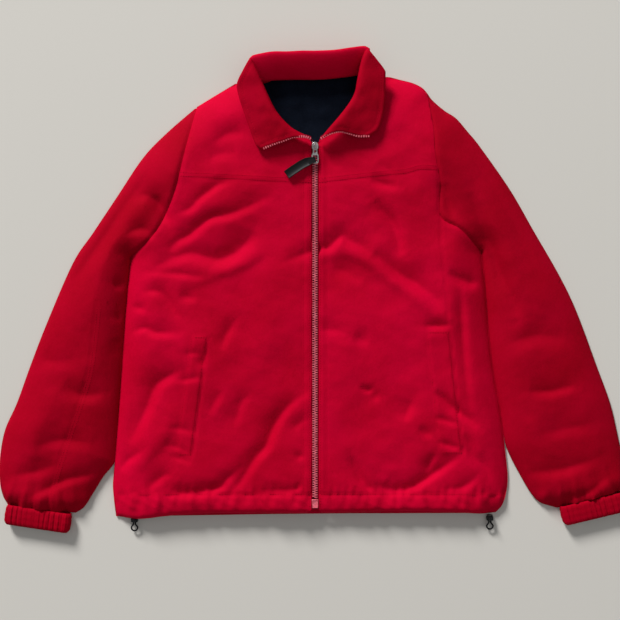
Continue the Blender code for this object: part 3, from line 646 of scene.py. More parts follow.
LOCK = moulded_material("black_plastic", (0.002, 0.002, 0.0023), (0.006, 0.006, 0.0066), 0.42, scale=700.0,
                        shine=0.25)
CORD = cloth_material("black_cord", (0.004, 0.004, 0.005), (0.01, 0.01, 0.011), (0.02, 0.02, 0.022),
                      0.7, 2600.0, 0.2)
ELASTIC = cloth_material("white_elastic", (0.42, 0.41, 0.38), (0.55, 0.53, 0.5), (0.66, 0.64, 0.6),
                         0.8, 1500.0, 0.1)


# ---- the body of the jacket ----

def hinge_point(y, side):
    share = (y - HINGE_TOP.y) / (HINGE_FOOT.y - HINGE_TOP.y)
    return Vector((side["sign"] * (HINGE_TOP.x + (HINGE_FOOT.x - HINGE_TOP.x) * share), y, 0.027))


def blend_front(obj, word):
    """Works out the fold line and its inward side, which nothing uses, and bakes the object's place into its
    mesh.
    """
    side = SIDES[word]
    a, b = hinge_point(0.2, side), hinge_point(-0.2, side)
    run = (b - a).normalized()
    inward = Vector((-run.y, run.x, 0)) * side["sign"]
    if inward.x * side["sign"] > 0:
        inward = -inward
    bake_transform(obj)


def roll_edge(gap, radius, drop):
    """How far cloth curls down beside an edge."""
    t = np.clip(gap / radius, 0, 1)
    return drop * (1 - np.sqrt(np.clip(1 - (1 - t) ** 2, 0, 1)))


def front_outline(side, shrink=0.0):
    sign = side["sign"]
    placket = np.array([(sign * PLACKET_X, 0.2335), (sign * PLACKET_X, -0.3425)])
    lines = [placket, smooth(side["hem"][::-1]), smooth(side["side"][::-1])[1:],
             smooth(side["armhole"][::-1])[1:], smooth(side["shoulder"][::-1])[1:],
             smooth(side["neckline"][::-1])[1:-1]]
    corners = [placket[0], placket[1], side["hem"][-1], side["hem"][0], side["armhole"][-1],
               side["shoulder"][-1], side["shoulder"][0]]
    return np.vstack(lines), corners


def hem_shape(points, side):
    """The casing swells between its seam and its edge, and puckers across."""
    x, y = points.T
    hem = smooth(side["hem"])
    gap = closest(points, hem)[0]
    casing = np.clip((HEM_SEAM_Y - y) / CASING, 0, 1)
    swell = 0.0016 * np.sin(np.pi * casing)
    near = hump(y - HEM_SEAM_Y, 0.013)
    pucker = waves(points, 21, 0.017, heading=0.0, spread=0.25) * (0.0011 * near)
    pucker += waves(points, 22, 0.026, heading=0.0, spread=0.3) * 0.001 * (casing > 0)
    pucker += waves(points, 23, 0.013, heading=0.8, spread=0.35) * 0.0007 * np.sin(np.pi * casing)
    return swell + pucker - roll_edge(gap, 0.008, 0.0085)


def pocket_shape(points, side):
    """A welt that stands up from the cloth, and the slit beside it."""
    top, foot = (np.array(p) for p in side["pocket"])
    run, width = foot - top, abs(side["welt"])
    along = ((points - top) @ run) / (run @ run)
    offset = (points[:, 0] - top[0] - run[0] * np.clip(along, 0, 1)) * np.sign(side["welt"])

    def step(t, softness):
        return 1 / (1 + np.exp(-t / softness))
    ends = step(along, 0.008) * step(1.0 - along, 0.008)
    band = step(offset, 0.0009) * step(width - offset, 0.0012)
    slit, outer_row = hump(offset + 0.0012, 0.0016), hump(offset - width, 0.0018)
    return ends * (0.0013 * band - 0.0022 * slit - 0.0008 * outer_row - 0.0003 * hump(offset - 0.004, 0.0016))


def front_top(points, side):
    return cloth_top(points) + hem_shape(points, side) + pocket_shape(points, side)


def front_shell(word):
    side = SIDES[word]
    outline, corners = front_outline(side)
    points, quads = patch(outline, corners=corners)
    z = front_top(points, side) - groove(points, smooth(side["neckline"]), 0.008, 0.004)
    z = np.maximum(z, 0.0018)
    obj = dress(solid("front_shell_" + word, points, z, quads), SHELL)
    blend_front(obj, word)
    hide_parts(*[n + word for n in ("front_panel_", "front_yoke_", "front_hem_", "side_panel_",
                                          "shoulder_yoke_", "side_hem_", "pocket_welt_")])


def front_lining(word):
    side = SIDES[word]
    sign = side["sign"]
    outline = np.vstack([
        [(sign * 0.01, 0.226), (sign * 0.01, HEM_SEAM_Y + 0.002)],
        [(side["side"][-2][0] - sign * 0.012, HEM_SEAM_Y + 0.002)],
        smooth([(x - sign * 0.014, y) for x, y in side["side"][::-1][2:]]),
        smooth([(x - sign * 0.016, y - 0.006) for x, y in side["armhole"][::-1][1:]]),
        [(sign * 0.135, 0.308), (sign * 0.105, 0.31)],
        smooth([(x + sign * 0.006, y - 0.004) for x, y in side["neckline"][::-1][2:-1]]),
    ])
    points, quads = patch(outline, 0.008)
    ring = np.vstack([outline, outline[:1]])
    edge = closest(points, ring)[0]
    top = plain_top(points, rim_distance(points))
    drop = 0.0036 + (LINING_DROP - 0.0036) * np.clip(edge / 0.03, 0, 1) ** 0.7
    z = np.maximum(top - drop - 0.0014 + 0.0006 * waves(points, 31, 0.05), 0.0052)
    z = np.minimum(z, front_top(points, side) - 0.004)
    obj = dress(solid("front_fleece_" + word, points, z, quads, thick=0.001), LINING)
    blend_front(obj, word)
    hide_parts("front_lining_" + word)


def zip_backing(word):
    """The strip of shell cloth behind the zip, and the zip's own tape."""
    sign = SIDES[word]["sign"]

    def strip(name, outline, cell, below_level, below_cloth, thick):
        outline = np.array([(sign * x, y) for x, y in outline])
        points, quads = patch(outline, cell, outline)
        z = np.minimum(level(points[:, 1]) - below_level, cloth_top(points) - below_cloth)
        return dress(solid(name + word, points, z, quads, thick=thick), FACING)
    facing = strip("front_facing_", [(0.005, 0.233), (0.005, -0.324), (0.03, -0.324), (0.03, 0.244),
                                     (0.02, 0.239)], 0.005, 0.002, 0.0022, 0.001)
    blend_front(facing, word)
    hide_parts("zip_facing_" + word)
    tape = strip("zip_cloth_", [(0.0038, 0.233), (0.0038, -0.327), (0.019, -0.327), (0.019, 0.2385)],
                 0.0038, 0.0008, 0.0016, 0.0005)
    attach(tape, "front_" + word)
    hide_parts("zip_tape_" + word)


def back_shell():
    """The back, which lies on the floor, with its edges curled up to meet the front."""
    outline = np.vstack([
        smooth(LEFT["shoulder"]), smooth(LEFT["armhole"])[1:], smooth(LEFT["side"])[1:],
        smooth([(-0.315, -0.356), (-0.25, -0.356), (0.0, -0.3525), (0.24, -0.3515),
                (0.2857, -0.3501)])[1:],
        smooth(RIGHT["side"][::-1])[1:], smooth(RIGHT["armhole"][::-1])[1:],
        smooth(RIGHT["shoulder"][::-1])[1:],
        smooth([(0.118, 0.3355), (0.06, 0.34), (0.0, 0.339), (-0.06, 0.337), (-0.1256, 0.325)])[1:-1],
    ])
    corners = [LEFT["shoulder"][0], LEFT["shoulder"][-1], LEFT["side"][0], LEFT["side"][-1],
               RIGHT["side"][-1], RIGHT["side"][0], RIGHT["shoulder"][-1], RIGHT["shoulder"][0]]
    points, quads = patch(outline, 0.0075, corners)
    gap = rim_distance(points)
    z = 0.0006 + roll_edge(gap, 0.012, 0.0016)
    z += 0.0004 * (1 + waves(points, 41, 0.08)) * np.clip(gap / 0.03, 0, 1)
    casing = np.clip((HEM_SEAM_Y - points[:, 1]) / CASING, 0, 1)
    top = z + 0.0011 + 0.0032 * np.sin(np.pi * casing) ** 0.5
    obj = dress(solid("back_shell", points, top, quads, under=np.maximum(z - 0.0006, 0.0)), SHELL)
    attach(obj, "body")
    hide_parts("back_panel", "back_hem")


def back_lining():
    """The navy lining; at the neck it rises to the collar seam."""
    outline = np.vstack([
        smooth([(-0.105, 0.33), (-0.15, 0.29), (-0.178, 0.25), (-0.19, 0.17),
                (-0.23, 0.08), (-0.27, 0.03)]),
        smooth([(-0.278, -0.05), (-0.29, -0.22), (-0.295, -0.318)]),
        smooth([(0.285, -0.318), (0.27, -0.18), (0.248, -0.02)]),
        smooth([(0.235, 0.045), (0.195, 0.09), (0.175, 0.17), (0.165, 0.26), (0.135, 0.31),
                (0.095, 0.34)]),
        smooth([(0.07, 0.345), (0.0, 0.344), (-0.075, 0.34)]),
    ])
    points, quads = patch(outline, 0.0065)
    x, y = points.T
    neck = np.exp(-((x / 0.085) ** 4)) * np.clip((y - 0.262) / 0.08, 0, 1) ** 1.5
    z = 0.0036 + 0.0008 * waves(points, 51, 0.07) + 0.011 * neck
    v_shape = hump(x - 0.003, 0.05) * hump(y - 0.3, 0.05)
    z += v_shape * (0.0014 * (1.2 + waves(points, 52, 0.034)) + 0.0005 * waves(points, 53, 0.016))
    obj = dress(solid("back_fleece", points, z, quads, thick=0.001), LINING)
    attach(obj, "body")
    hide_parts("back_lining")


# ---- sleeves ----

def sleeve_axis(side):
    a = (Vector(side["swing"][0]) + Vector(side["swing"][1])) / 2
    b = (Vector(side["elbow"][0]) + Vector(side["elbow"][1])) / 2
    return a, b, (b - a).normalized()


def sleeve_parts(word):
    """A flattened tube of cloth, cut in two across the upper arm."""
    side = SIDES[word]
    sign = side["sign"]
    a, b, run = sleeve_axis(side)
    split = float(run.dot(a)) + 0.068
    armhole = smooth(side["armhole"])[1:-1] - [sign * 0.0025, 0.0]
    outline = np.vstack([smooth(side["sleeve_outer"]), smooth(side["sleeve_inner"])[::-1], armhole[::-1]])
    points, quads = patch(outline)
    gap, place, _ = closest(points, smooth(side["armhole"]))
    tucked = np.clip(((place - points)[:, 0] * sign + 0.001) / 0.003, 0, 1) * (gap < 0.004)
    z = cloth_top(points) + cuff_gather(points, side)
    z = np.maximum(z - 0.0012 * tucked - 0.0008 * hump(gap, 0.002), 0.0022)
    under = np.minimum(0.0001 + roll_edge(rim_distance(points), 0.01, 0.0018), z - 0.0002)
    reach = points[quads].mean(1) @ np.array(run)
    parts = []
    for name, chosen in (("sleeve_upper_", reach <= split), ("sleeve_lower_", reach > split)):
        used, faces = np.unique(quads[chosen], return_inverse=True)
        piece = solid(name + word, points[used], z[used], faces.reshape(-1, 4), under=under[used])
        # Painted shade: the sleeve gets the darker copy of the shell's red.
        parts.append(dress(piece, SHADED_SHELL))
    return parts


def cuff_gather(points, side):
    """Gathers that run up the sleeve from the cuff."""
    (x, y), turn, width = side["cuff"]
    angle = math.radians(turn)
    across = (points[:, 0] - x) * math.cos(angle) + (points[:, 1] - y) * math.sin(angle)
    up = -(points[:, 0] - x) * math.sin(angle) + (points[:, 1] - y) * math.cos(angle) - 0.0155
    fade = np.exp(-np.clip(up, 0, 1) / 0.022)
    bend = 0.25 * across * np.clip(up, 0, 0.06) / 0.06
    ridges = np.sin((across + bend) * 2 * math.pi / 0.0105 + 2 * np.sin(across * 90)) * 0.0013
    ridges += np.sin((across + bend) * 2 * math.pi / 0.027 + 1.3) * 0.0026
    dip = 0.006 * np.exp(-np.clip(up, 0, 1) / 0.007) - 0.0022 * hump(up - 0.02, 0.012)
    return ridges * fade - dip


def sleeves(word):
    upper, lower = sleeve_parts(word)
    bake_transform(upper)
    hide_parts("sleeve_cap_" + word, "sleeve_top_" + word, "sleeve_under_" + word)
    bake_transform(lower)
    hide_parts("forearm_top_" + word, "forearm_under_" + word)


def flat_ring(s, straight, radius):
    """A point of a ring that lies flat, and the way out from it, s along the ring."""
    half = straight + math.pi * radius
    flip = -1.0 if s >= half else 1.0
    s %= half
    if s < straight:
        x, z, out_x, out_z = s - straight / 2, -radius, 0.0, -1.0
    else:
        angle = (s - straight) / radius - math.pi / 2
        out_x, out_z = math.cos(angle), math.sin(angle)
        x, z = straight / 2 + radius * out_x, radius * out_z
    return x * flip, radius + z * flip, out_x * flip, out_z * flip


def cuff(word):
    """An elastic cuff: a flattened ring with pleats between its rows of elastic."""
    (x, y), turn, width = SIDES[word]["cuff"]
    high, length, around, along = 0.015, 0.031, 300, 14
    radius, straight = high / 2, width - high
    total = 2 * straight + 2 * math.pi * radius
    phases = np.random.default_rng(5 if word == "left" else 6).uniform(0, 2 * math.pi, 6)
    verts = []
    for i in range(along + 1):
        v = i / along
        rows = 0.5 - 0.5 * math.cos(2 * math.pi * v * 3)
        puff = 0.0003 * rows + 0.0008 * math.sin(math.pi * v) - 0.0018 * (abs(2 * v - 1) ** 6)
        corner = 1 - 0.03 * max(2 * v - 1.35, 0) ** 2 / 0.42
        for j in range(around):
            s = total * j / around
            base_x, base_z, out_x, out_z = flat_ring(s, straight, radius)
            turns = 2 * math.pi * s / total
            pleat = math.sin(turns * 26 + 1.4 * math.sin(turns * 5 + phases[0])
                             + 0.6 * v * math.sin(turns * 9))
            pleat = 0.00042 * pleat + 0.00022 * math.sin(turns * 57 + phases[1] + 2 * v)
            pleat *= 1 + 0.6 * math.sin(turns * 3 + phases[2])
            out = puff + pleat * (0.75 + 0.25 * rows)
            on_floor = 0.25 if out_z < -0.5 else 1.0
            verts.append(((base_x + out_x * out) * corner, (0.5 - v) * length,
                          max(base_z + out_z * out * on_floor, 0.0001) + 0.0003))
    obj = build("cuff_band_" + word, verts, bands(along, around, True), outward)
    thicken(obj, 0.0012)
    obj.matrix_world = Matrix.Translation((x, y, 0)) @ Matrix.Rotation(math.radians(turn), 4, "Z")
    obj = settle(obj)
    obj.data.shade_smooth()
    # Painted shade: the cuff gets the darker copy of the shell's red.
    dress(obj, SHADED_SHELL)
    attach(obj, "forearm_" + word)
    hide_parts("cuff_" + word)


# ---- collar ----

def leaf_height(points, side):
    """A leaf rises from its outer edge to the roll of the collar."""
    roll = smooth(side["leaf_roll"], 6)
    gap = closest(points, roll)[0]
    t = np.clip(1 - gap / 0.05, 0, 1)
    z = level(points[:, 1]) + 0.0115 + 0.009 * t ** 1.2
    z -= roll_edge(gap, 0.01, 0.0078)
    z += 0.0007 * waves(points, 61, 0.055) + 0.0003 * waves(points, 62, 0.02)
    return z


def collar_leaf(word):
    side = SIDES[word]
    outline = np.vstack([smooth(side["leaf_outer"]), smooth(side["leaf_front"])[1:],
                         smooth(side["leaf_roll"])[1:-1]])
    corners = [side["leaf_outer"][-1], side["leaf_front"][-1]]
    points, quads = patch(outline, 0.0026, corners)
    z = leaf_height(points, side)
    outer = closest(points, smooth(side["leaf_outer"], 6))[0]
    front = closest(points, smooth(side["leaf_front"], 6))[0]
    z -= roll_edge(np.minimum(outer, front), 0.0035, 0.0018)
    z -= 0.0007 * hump(outer - LEAF_STITCH, 0.0014)
    z -= 0.0007 * hump(front - LEAF_STITCH, 0.0014)
    under = z - 0.004 + 0.0012 * hump(np.minimum(outer, front), 0.003)
    # Painted shade: the leaf gets the darker copy of the shell's red.
    obj = dress(solid("collar_fall_" + word, points, z, quads, under=under), SHADED_SHELL)
    blend_collar(obj)
    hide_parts("collar_leaf_" + word)
    collar_chain(word)


def blend_collar(obj):
    """Bakes the object's place into its mesh."""
    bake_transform(obj)


def teeth(name, centres, headings, size):
    """Small rounded blocks, one on each centre, as one mesh."""
    long, wide, high = size
    profile = [(-0.5, -0.42), (0.3, -0.42), (0.5, -0.24), (0.5, 0.24), (0.3, 0.42), (-0.5, 0.42)]
    n = len(profile)
    block = bands(3, n, True) + [range(n)[::-1], range(3 * n, 4 * n)]
    verts, faces = [], []
    for (x, y, z), (ux, uy) in zip(centres, headings):
        faces += [tuple(len(verts) + i for i in face) for face in block]
        for k, squeeze in ((-0.5, 0.78), (-0.28, 1.0), (0.28, 1.0), (0.5, 0.78)):
            for p, q in profile:
                a, b = p * long * squeeze, q * wide * squeeze
                verts.append((x + ux * a - uy * b, y + uy * a + ux * b, z + k * high))
    mesh = bpy.data.meshes.new(name)
    mesh.from_pydata(verts, [], faces)
    return dress(add(name, mesh), TEETH)


def collar_chain(word):
    """The zip's teeth run on along the front edge of the leaf, on a strip of tape."""
    side = SIDES[word]
    line = smooth(side["leaf_front"], 14)
    length = measured(line)
    count = int(length[-1] / TOOTH_PITCH)
    centres, headings, tape = [], [], []
    for k in range(count):
        at = (k + 0.5) * TOOTH_PITCH
        x, y = np.interp(at, length, line[:, 0]), np.interp(at, length, line[:, 1])
        dx = np.interp(at + 0.001, length, line[:, 0]) - x
        dy = np.interp(at + 0.001, length, line[:, 1]) - y
        n = Vector((dx, dy)).normalized()
        out = Vector((n.y, -n.x)) if n.x > 0 else Vector((-n.y, n.x))
        z = float(leaf_height(np.array([(x, y)]), side)[0]) - 0.0024
        centres.append((x + out.x * 0.0028, y + out.y * 0.0028, z + 0.0006))
        headings.append((out.x, out.y))
        tape.append((x + out.x * 0.0002, y + out.y * 0.0002, z))
    obj = teeth("collar_chain_" + word, centres, headings, (0.004, 0.0026, 0.0026))
    blend_collar(obj)
    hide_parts("collar_teeth_" + word)
    strip = dress(settle(tube("collar_tape_" + word, tape, 0.0011, sides=2)), FACING)
    blend_collar(strip)


def collar_back():
    """The back of the collar: its inner face slopes up from the neck seam to the roll."""
    left_x, right_x = LEFT["leaf_outer"][0][0] - 0.001, RIGHT["leaf_outer"][0][0] + 0.0015
    tops = smooth([(left_x - 0.002, 0.35), (-0.1015, 0.3575), (-0.094, 0.3625), (-0.07, 0.3662),
                   (-0.035, 0.3675), (0.0078, 0.3678), (0.05, 0.372), (0.074, 0.3762),
                   (right_x - 0.005, 0.3755), (right_x + 0.001, 0.372)], 14)
    inner = [(-0.037 * t, 0.0425 - 0.0185 * t ** 1.4) for t in np.linspace(1, 0, 13)]
    roll = [(0.005 * math.cos(a), 0.037 + 0.0055 * math.sin(a))
            for a in np.linspace(math.pi / 2, -math.pi / 2, 9)[1:]]
    fall = [(-0.001 - 0.034 * t, 0.0315 - 0.027 * t) for t in np.linspace(0, 1, 9)[1:]]
    profile = inner + roll + fall
    across = 96
    wave = waves(np.column_stack([np.linspace(-0.11, 0.09, across), np.zeros(across)]), 71, 0.05)
    verts = []
    for i, u in enumerate(np.linspace(0, 1, across)):
        x = left_x + (right_x - left_x) * u
        y_top = float(np.interp(x, tops[:, 0], tops[:, 1]))
        pinch = 1 - 0.1 * (abs(2 * u - 1) ** 3)
        for k, (dy, z) in enumerate(profile):
            wobble = 0.0006 * wave[i] * math.sin(math.pi * k / len(profile))
            verts.append((x, y_top + dy + wobble, z * pinch + wobble))
    faces = [face[::-1] for face in bands(across - 1, len(profile), False)]
    obj = build("collar_stand", verts, faces)
    thicken(obj, 0.0022)
    obj = settle(obj)
    reshape(obj.data, outward)
    obj.data.shade_smooth()
    dress(obj, SHELL)
    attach(obj, "body")
    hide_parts("collar_back")


# ---- zip ----

def zip_chain(word):
    """Moulded teeth: each side's teeth reach past the middle, between those of the other side."""
    sign = SIDES[word]["sign"]
    top, foot = 0.219, -0.3262
    count = int((top - foot) / TOOTH_PITCH)
    heights = [top - (k + (0.25 if word == "left" else 0.75)) * TOOTH_PITCH for k in range(count)]
    centres = [(sign * 0.0015, y, level(y) + 0.0002) for y in heights]
    obj = teeth("zip_chain_" + word, centres, [(-sign, 0.0)] * count, (0.0052, 0.0021, 0.003))
    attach(obj, "front_" + word)
    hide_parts("zip_teeth_" + word)
    rail = [(sign * 0.0046, y, level(y) - 0.0002) for y in np.linspace(top, foot, 60)]
    bead = dress(settle(tube("zip_bead_" + word, rail, 0.001, sides=2)), FACING)
    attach(bead, "front_" + word)


def rounded_box(name, size, centre, bevel, segments, *steps):
    """A block with rounded edges."""
    bm = bmesh.new()
    bmesh.ops.create_cube(bm, size=1.0)
    bmesh.ops.scale(bm, vec=size, verts=bm.verts)
    bmesh.ops.bevel(bm, geom=bm.edges[:], offset=bevel, segments=segments, affect="EDGES", profile=0.5)
    for step in steps:
        step(bm)
    bmesh.ops.translate(bm, vec=centre, verts=bm.verts)
    mesh = bpy.data.meshes.new(name)
    bm.to_mesh(mesh)
    bm.free()
    mesh.shade_smooth()
    return add(name, mesh)


def zip_box():
    """The insertion box, with a raised rim round it."""
    def sink_top(bm):
        top = [f for f in bm.faces if f.normal.z > 0.99 and f.calc_area() > 5e-5]
        bmesh.ops.inset_region(bm, faces=top, thickness=0.0014, depth=-0.0006)
    y = -0.334
    obj = rounded_box("zip_end_box", (0.0104, 0.0136, 0.0046), (0, y, level(y) - 0.0001), 0.0009, 3, sink_top)
    obj.data.set_sharp_from_angle(angle=math.radians(40))
    dress(obj, TEETH)
    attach(obj, "front_left")
    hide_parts("zip_box")


def rounded_plate(name, loops, z, thick, bevel):
    loops = [[(x, y, 0.0) for x, y in points] for points in loops]
    obj = curve_object(name, loops, True, dimensions="2D", fill_mode="BOTH", bevel_depth=bevel,
                       extrude=max(thick / 2 - bevel, 0.0001), bevel_resolution=3, offset=-bevel)
    obj.location = (0, 0, z)
    obj = settle(obj)
    reshape(obj.data, lambda bm: bmesh.ops.remove_doubles(bm, verts=bm.verts, dist=1e-6), outward)
    obj.data.shade_smooth()
    obj.data.set_sharp_from_angle(angle=math.radians(35))
    return obj


def round_outline(x0, y0, x1, y1, r, steps=5):
    points = []
    for cx, cy, start in ((x1 - r, y1 - r, 0), (x0 + r, y1 - r, 90),
                          (x0 + r, y0 + r, 180), (x1 - r, y0 + r, 270)):
        for k in range(steps + 1):
            angle = math.radians(start + 90 * k / steps)
            points.append((cx + r * math.cos(angle), cy + r * math.sin(angle)))
    return points


def zip_pull():
    """Slider body with its bridge, the metal pull, and the rubber tab."""
    low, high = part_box("zip_slider")
    y_mid = (low[1] + high[1]) / 2
    top = level(y_mid) + 0.0021
    shield = [(-0.0034, low[1]), (0.0034, low[1]), (0.005, low[1] + 0.004), (0.0052, high[1] - 0.003),
              (0.003, high[1] + 0.0004), (0.0, high[1] + 0.001), (-0.003, high[1] + 0.0004),
              (-0.0052, high[1] - 0.003), (-0.005, low[1] + 0.004)]
    upper = rounded_plate("slider_upper", [shield], top + 0.0008, 0.0018, 0.0006)
    lower = rounded_plate("slider_lower", [shield], top - 0.0048, 0.0014, 0.0004)
    arch = [(0.0, y_mid + 0.0046 * math.cos(math.pi * k / 12),
             top + 0.0012 + 0.0036 * abs(math.sin(math.pi * k / 12)) ** 0.6) for k in range(13)]
    bridge = settle(tube("slider_bridge", arch, 0.0011, sides=3))
    for piece in (upper, lower, bridge):
        dress(piece, METAL)
        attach(piece, "slider")
    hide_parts("zip_slider")

    low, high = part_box("zip_pull")
    z = (low[2] + high[2]) / 2 + 0.0016
    body = [(-0.0034, high[1] - 0.0006), (-0.0036, high[1] - 0.0095), (-0.0055, high[1] - 0.0145),
            (-0.0055, low[1] + 0.002), (-0.0038, low[1]), (0.0038, low[1]), (0.0055, low[1] + 0.002),
            (0.0055, high[1] - 0.0145), (0.0036, high[1] - 0.0095), (0.0034, high[1] - 0.0006)]
    eye = round_outline(-0.0018, high[1] - 0.01, 0.0018, high[1] - 0.0018, 0.0012)
    window = round_outline(-0.0036, low[1] + 0.0026, 0.0036, low[1] + 0.0128, 0.0014)
    pull = rounded_plate("pull_frame", [body, eye, window], z, 0.0016, 0.0005)
    dress(pull, METAL)
    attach(pull, "pull")
    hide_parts("zip_pull")
    pull_tab(z)


def pull_tab(z):
    """A soft moulded tab with a raised border and fine ribs."""
    line = smooth([(0.001, 0.204), (-0.008, 0.2022), (-0.018, 0.198), (-0.03, 0.1905),
                   (-0.039, 0.1845), (-0.0445, 0.1805)], 6)
    count = len(line)
    verts = []
    profile = [(-1.0, 0.0), (-1.0, 0.5), (-0.93, 1.0), (-0.82, 1.0), (-0.74, 0.72), (0.0, 0.7),
               (0.74, 0.72), (0.82, 1.0), (0.93, 1.0), (1.0, 0.5), (1.0, 0.0), (0.0, 0.0)]
    for i, (x, y) in enumerate(line):
        t = i / (count - 1)
        step = line[min(i + 1, count - 1)] - line[max(i - 1, 0)]
        step = step / np.hypot(*step)
        half = 0.0038 + 0.0032 * min(1.0, t / 0.3)
        rib = 0.00022 * math.sin(t * 90) if 0.3 < t < 0.92 else 0.0
        lift = 0.0002 + 0.0012 * math.sin(math.pi * t) - 0.0014 * t
        for across, up in profile:
            extra = rib if 0.5 < up < 0.9 else 0.0
            verts.append((x - step[1] * across * half, y + step[0] * across * half,
                          z + 0.0016 + lift + 0.0019 * up + extra))
    n = len(profile)
    faces = [face[::-1] for face in bands(count - 1, n, True)]
    faces += [tuple(range(n)), tuple((count - 1) * n + k for k in reversed(range(n)))]

    def soften(bm):
        bmesh.ops.bevel(bm, geom=[e for e in bm.edges if e.calc_face_angle(0) > 1.2], offset=0.0003,
                        segments=2, affect="EDGES", profile=0.5)
    tab = build("tab_strip", verts, faces, outward, soften, sharp=45)
    dress(tab, RUBBER)
    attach(tab, "tab")
    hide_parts("pull_tab")


# ---- hem cord ----

def cord_end(word):
    """The loop of elastic cord, and the lock on it."""
    side = SIDES[word]
    x, y = side["cord"]
    y -= 0.0018
    z = 0.0051
    strand, swell, run = 0.0015, 0.005, 0.01
    half = [(strand, -run * k / 4) for k in range(5)]
    half += [(strand + (swell - strand) * (1 - math.cos(math.pi * k / 8)) / 2, -run - 0.006 * k / 8)
             for k in range(1, 8)]
    crown = [(swell * math.cos(math.pi * k / 10), -run - 0.006 - swell * math.sin(math.pi * k / 10))
             for k in range(11)]
    route = half + crown + [(-a, b) for a, b in half[::-1]]
    points = [(x + a, y + b, z) for a, b in route]
    loop = tube("hem_cord_loop_" + word, points, 0.00125, sides=4)
    loop.data.materials.append(CORD)
    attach(loop, "body")
    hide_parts("cord_loop_" + word)
    lock = lock_body(word)


def lock_body(word):
    """The cord lock: a case with rounded edges."""
    low, high = (Vector(c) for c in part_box("cord_lock_" + word))
    case = rounded_box("lock_case_" + word, high - low, (high + low) / 2, 0.0018, 4)
    dress(case, LOCK)
    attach(case, "lock_" + word)
    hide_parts("cord_lock_" + word)
    return case


# ---- stitching ----

def stitch_ends(line):
    """Where each stitch along a line starts and ends."""
    length = measured(line)
    pitch = STITCH + STITCH_GAP
    starts = np.arange(int(length[-1] / pitch)) * pitch
    return [np.column_stack([np.interp(at, length, line[:, 0]), np.interp(at, length, line[:, 1])])
            for at in (starts, starts + STITCH)]


def stitch_mesh(name, rows, height):
    """Rows of separate stitches that lie on the cloth, each thick in its middle."""
    stitch = bands(2, 4, True) + [range(4)[::-1], range(8, 12)]
    verts, faces = [], []
    for line in rows:
        a, b = stitch_ends(line)
        za, zb = height(a), height(b)
        a, b = seen(a, za), seen(b, zb)
        run = b - a
        run /= np.maximum(np.hypot(*run.T), 1e-9)[:, None]
        for (ax, ay), (bx, by), z0, z1, (ux, uy) in zip(a, b, za, zb, run):
            faces += [tuple(len(verts) + i for i in face) for face in stitch]
            for x, y, z, size, rise in ((ax, ay, z0, 0.35, -0.0001),
                                        ((ax + bx) / 2, (ay + by) / 2, (z0 + z1) / 2, 1.0, 0.0003),
                                        (bx, by, z1, 0.35, -0.0001)):
                r = THREAD * size
                for sx, sz in ((-1, 0.0), (0, 1.0), (1, 0.0), (0, -0.6)):
                    verts.append((x - uy * r * sx, y + ux * r * sx, z + rise + r * sz))
    return dress(build(name, verts, faces), THREAD_RED)


def front_stitching(word):
    side = SIDES[word]
    sign = side["sign"]
    top, foot = side["pocket"]
    wide = Vector((side["welt"], 0))
    rows = [
        smooth([(sign * PLACKET_ROW, 0.228), (sign * PLACKET_ROW, HEM_SEAM_Y)], 4),
        smooth(side["yoke"]) + [0, 0.0018],
        smooth(side["yoke"]) + [0, 0.0075],
        np.array([(sign * 0.009, HEM_SEAM_Y + 0.0016), (sign * 0.3, HEM_SEAM_Y + 0.0006)]),
        np.array([(sign * 0.0085, 0.228), (sign * 0.0085, -0.342)]),
        np.array([top, foot]) + [side["welt"], 0.0],
        np.array([top, foot]) + [np.sign(side["welt"]) * 0.0025, 0.0],
    ]
    for point in (top, foot):
        bar = Vector(point)
        rows.append(np.array([bar, bar + wide]))
        rows.append(np.array([bar + Vector((0, 0.0012)), bar + wide + Vector((0, 0.0012))]))
    obj = stitch_mesh("front_stitches_" + word, rows, lambda p: front_top(p, side))
    blend_front(obj, word)


def collar_stitching(word):
    side = SIDES[word]
    rows = []
    for key in ("leaf_outer", "leaf_front"):
        line = smooth(side[key])
        step = np.gradient(line, axis=0)
        step /= np.hypot(*step.T)[:, None]
        normal = np.column_stack([-step[:, 1], step[:, 0]])
        centre = np.array(side["leaf_roll"]).mean(0)
        if ((centre - line.mean(0)) @ normal.mean(0)) < 0:
            normal = -normal
        rows.append((line + normal * LEAF_STITCH)[6:-15])
    obj = stitch_mesh("collar_stitches_" + word, rows, lambda p: leaf_height(p, side) - 0.0006)
    blend_collar(obj)


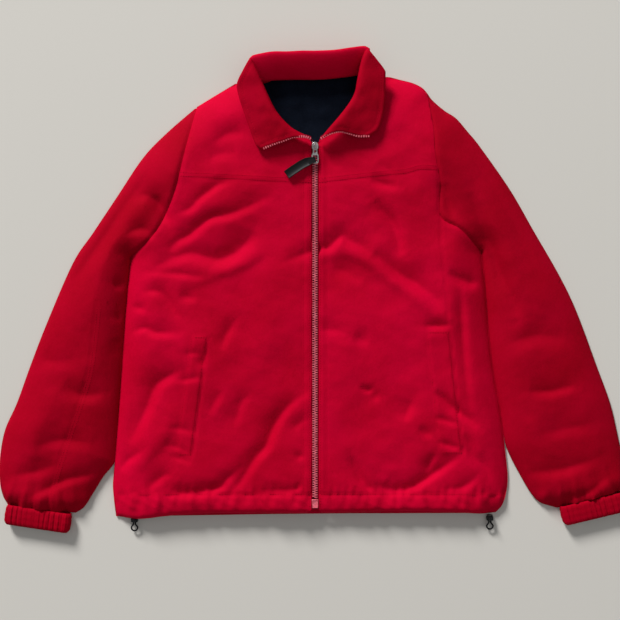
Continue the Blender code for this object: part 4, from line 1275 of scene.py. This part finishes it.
def arm_stitching():
    """The topstitching on the left sleeve's seam."""
    line = smooth(LEFT["arm_seam"])
    _, b, run = sleeve_axis(LEFT)
    line = line[(line @ np.array(run) > float(run.dot(b)) - 0.06) & (line[:, 1] > -0.325)]
    rows = [line + [0.0022, 0], line + [0.0075, 0]]
    obj = stitch_mesh("sleeve_stitches", rows, lambda p: cloth_top(p) + cuff_gather(p, LEFT))
    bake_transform(obj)


def carried_over():
    """Better materials for the CAD parts that stay."""
    looks = {"hem_drawcord": CORD, "zip_pin": TEETH}
    for word in SIDES:
        looks.update({"pocket_bag_" + word: LINING, "cuff_elastic_" + word: ELASTIC,
                      "lock_button_" + word: LOCK, "hem_eyelet_" + word: DARK_METAL})
    for name, look in looks.items():
        paint(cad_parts[name], look)


# ---- camera, light and floor ----

def stage():
    scene = bpy.context.scene
    scene.view_settings.view_transform = "Standard"
    camera_data = bpy.data.cameras.new("camera")
    camera = bpy.data.objects.new("camera", camera_data)
    scene.collection.objects.link(camera)
    distance, frame_width = EYE[2] - OUTLINE_Z, 0.9734
    camera_data.sensor_width = 36
    camera_data.lens = 36 * distance / frame_width
    camera_data.clip_start = 0.05
    camera.location = EYE
    scene.camera = camera

    floor_mesh = bpy.data.meshes.new("floor")
    floor_mesh.from_pydata([(-15, -15, 0), (15, -15, 0), (15, 15, 0), (-15, 15, 0)], [], [(0, 1, 2, 3)])
    floor = add("floor", floor_mesh)
    floor.location.z = -0.0004
    floor.data.materials.append(Look("pale_floor", (0.64, 0.615, 0.565), 0.9, shine=0.1).material)

    def lamp(name, kind, place, power, **settings):
        data = bpy.data.lights.new(name, kind)
        data.energy = power
        for key, value in settings.items():
            setattr(data, key, value)
        obj = bpy.data.objects.new(name, data)
        obj.location = place
        obj.rotation_euler = (-Vector(place)).to_track_quat("-Z", "Y").to_euler()
        scene.collection.objects.link(obj)
    lamp("window", "AREA", (-5.9, 11.0, 5.7), 2700.0, shape="DISK", size=3.8)
    lamp("fill", "SUN", (1.2, -0.8, 2.6), 0.22, angle=1.2)
    world = bpy.data.worlds.new("room")
    world.use_nodes = True
    sky = world.node_tree.nodes["Background"].inputs
    sky["Color"].default_value = (0.95, 0.97, 1.0, 1.0)
    sky["Strength"].default_value = 0.26
    scene.world = world


stage()
back_shell()
back_lining()
collar_back()
for word in SIDES:
    front_shell(word)
    front_lining(word)
    zip_backing(word)
    sleeves(word)
    cuff(word)
    collar_leaf(word)
    zip_chain(word)
    cord_end(word)
    front_stitching(word)
    collar_stitching(word)
arm_stitching()
zip_box()
zip_pull()
carried_over()
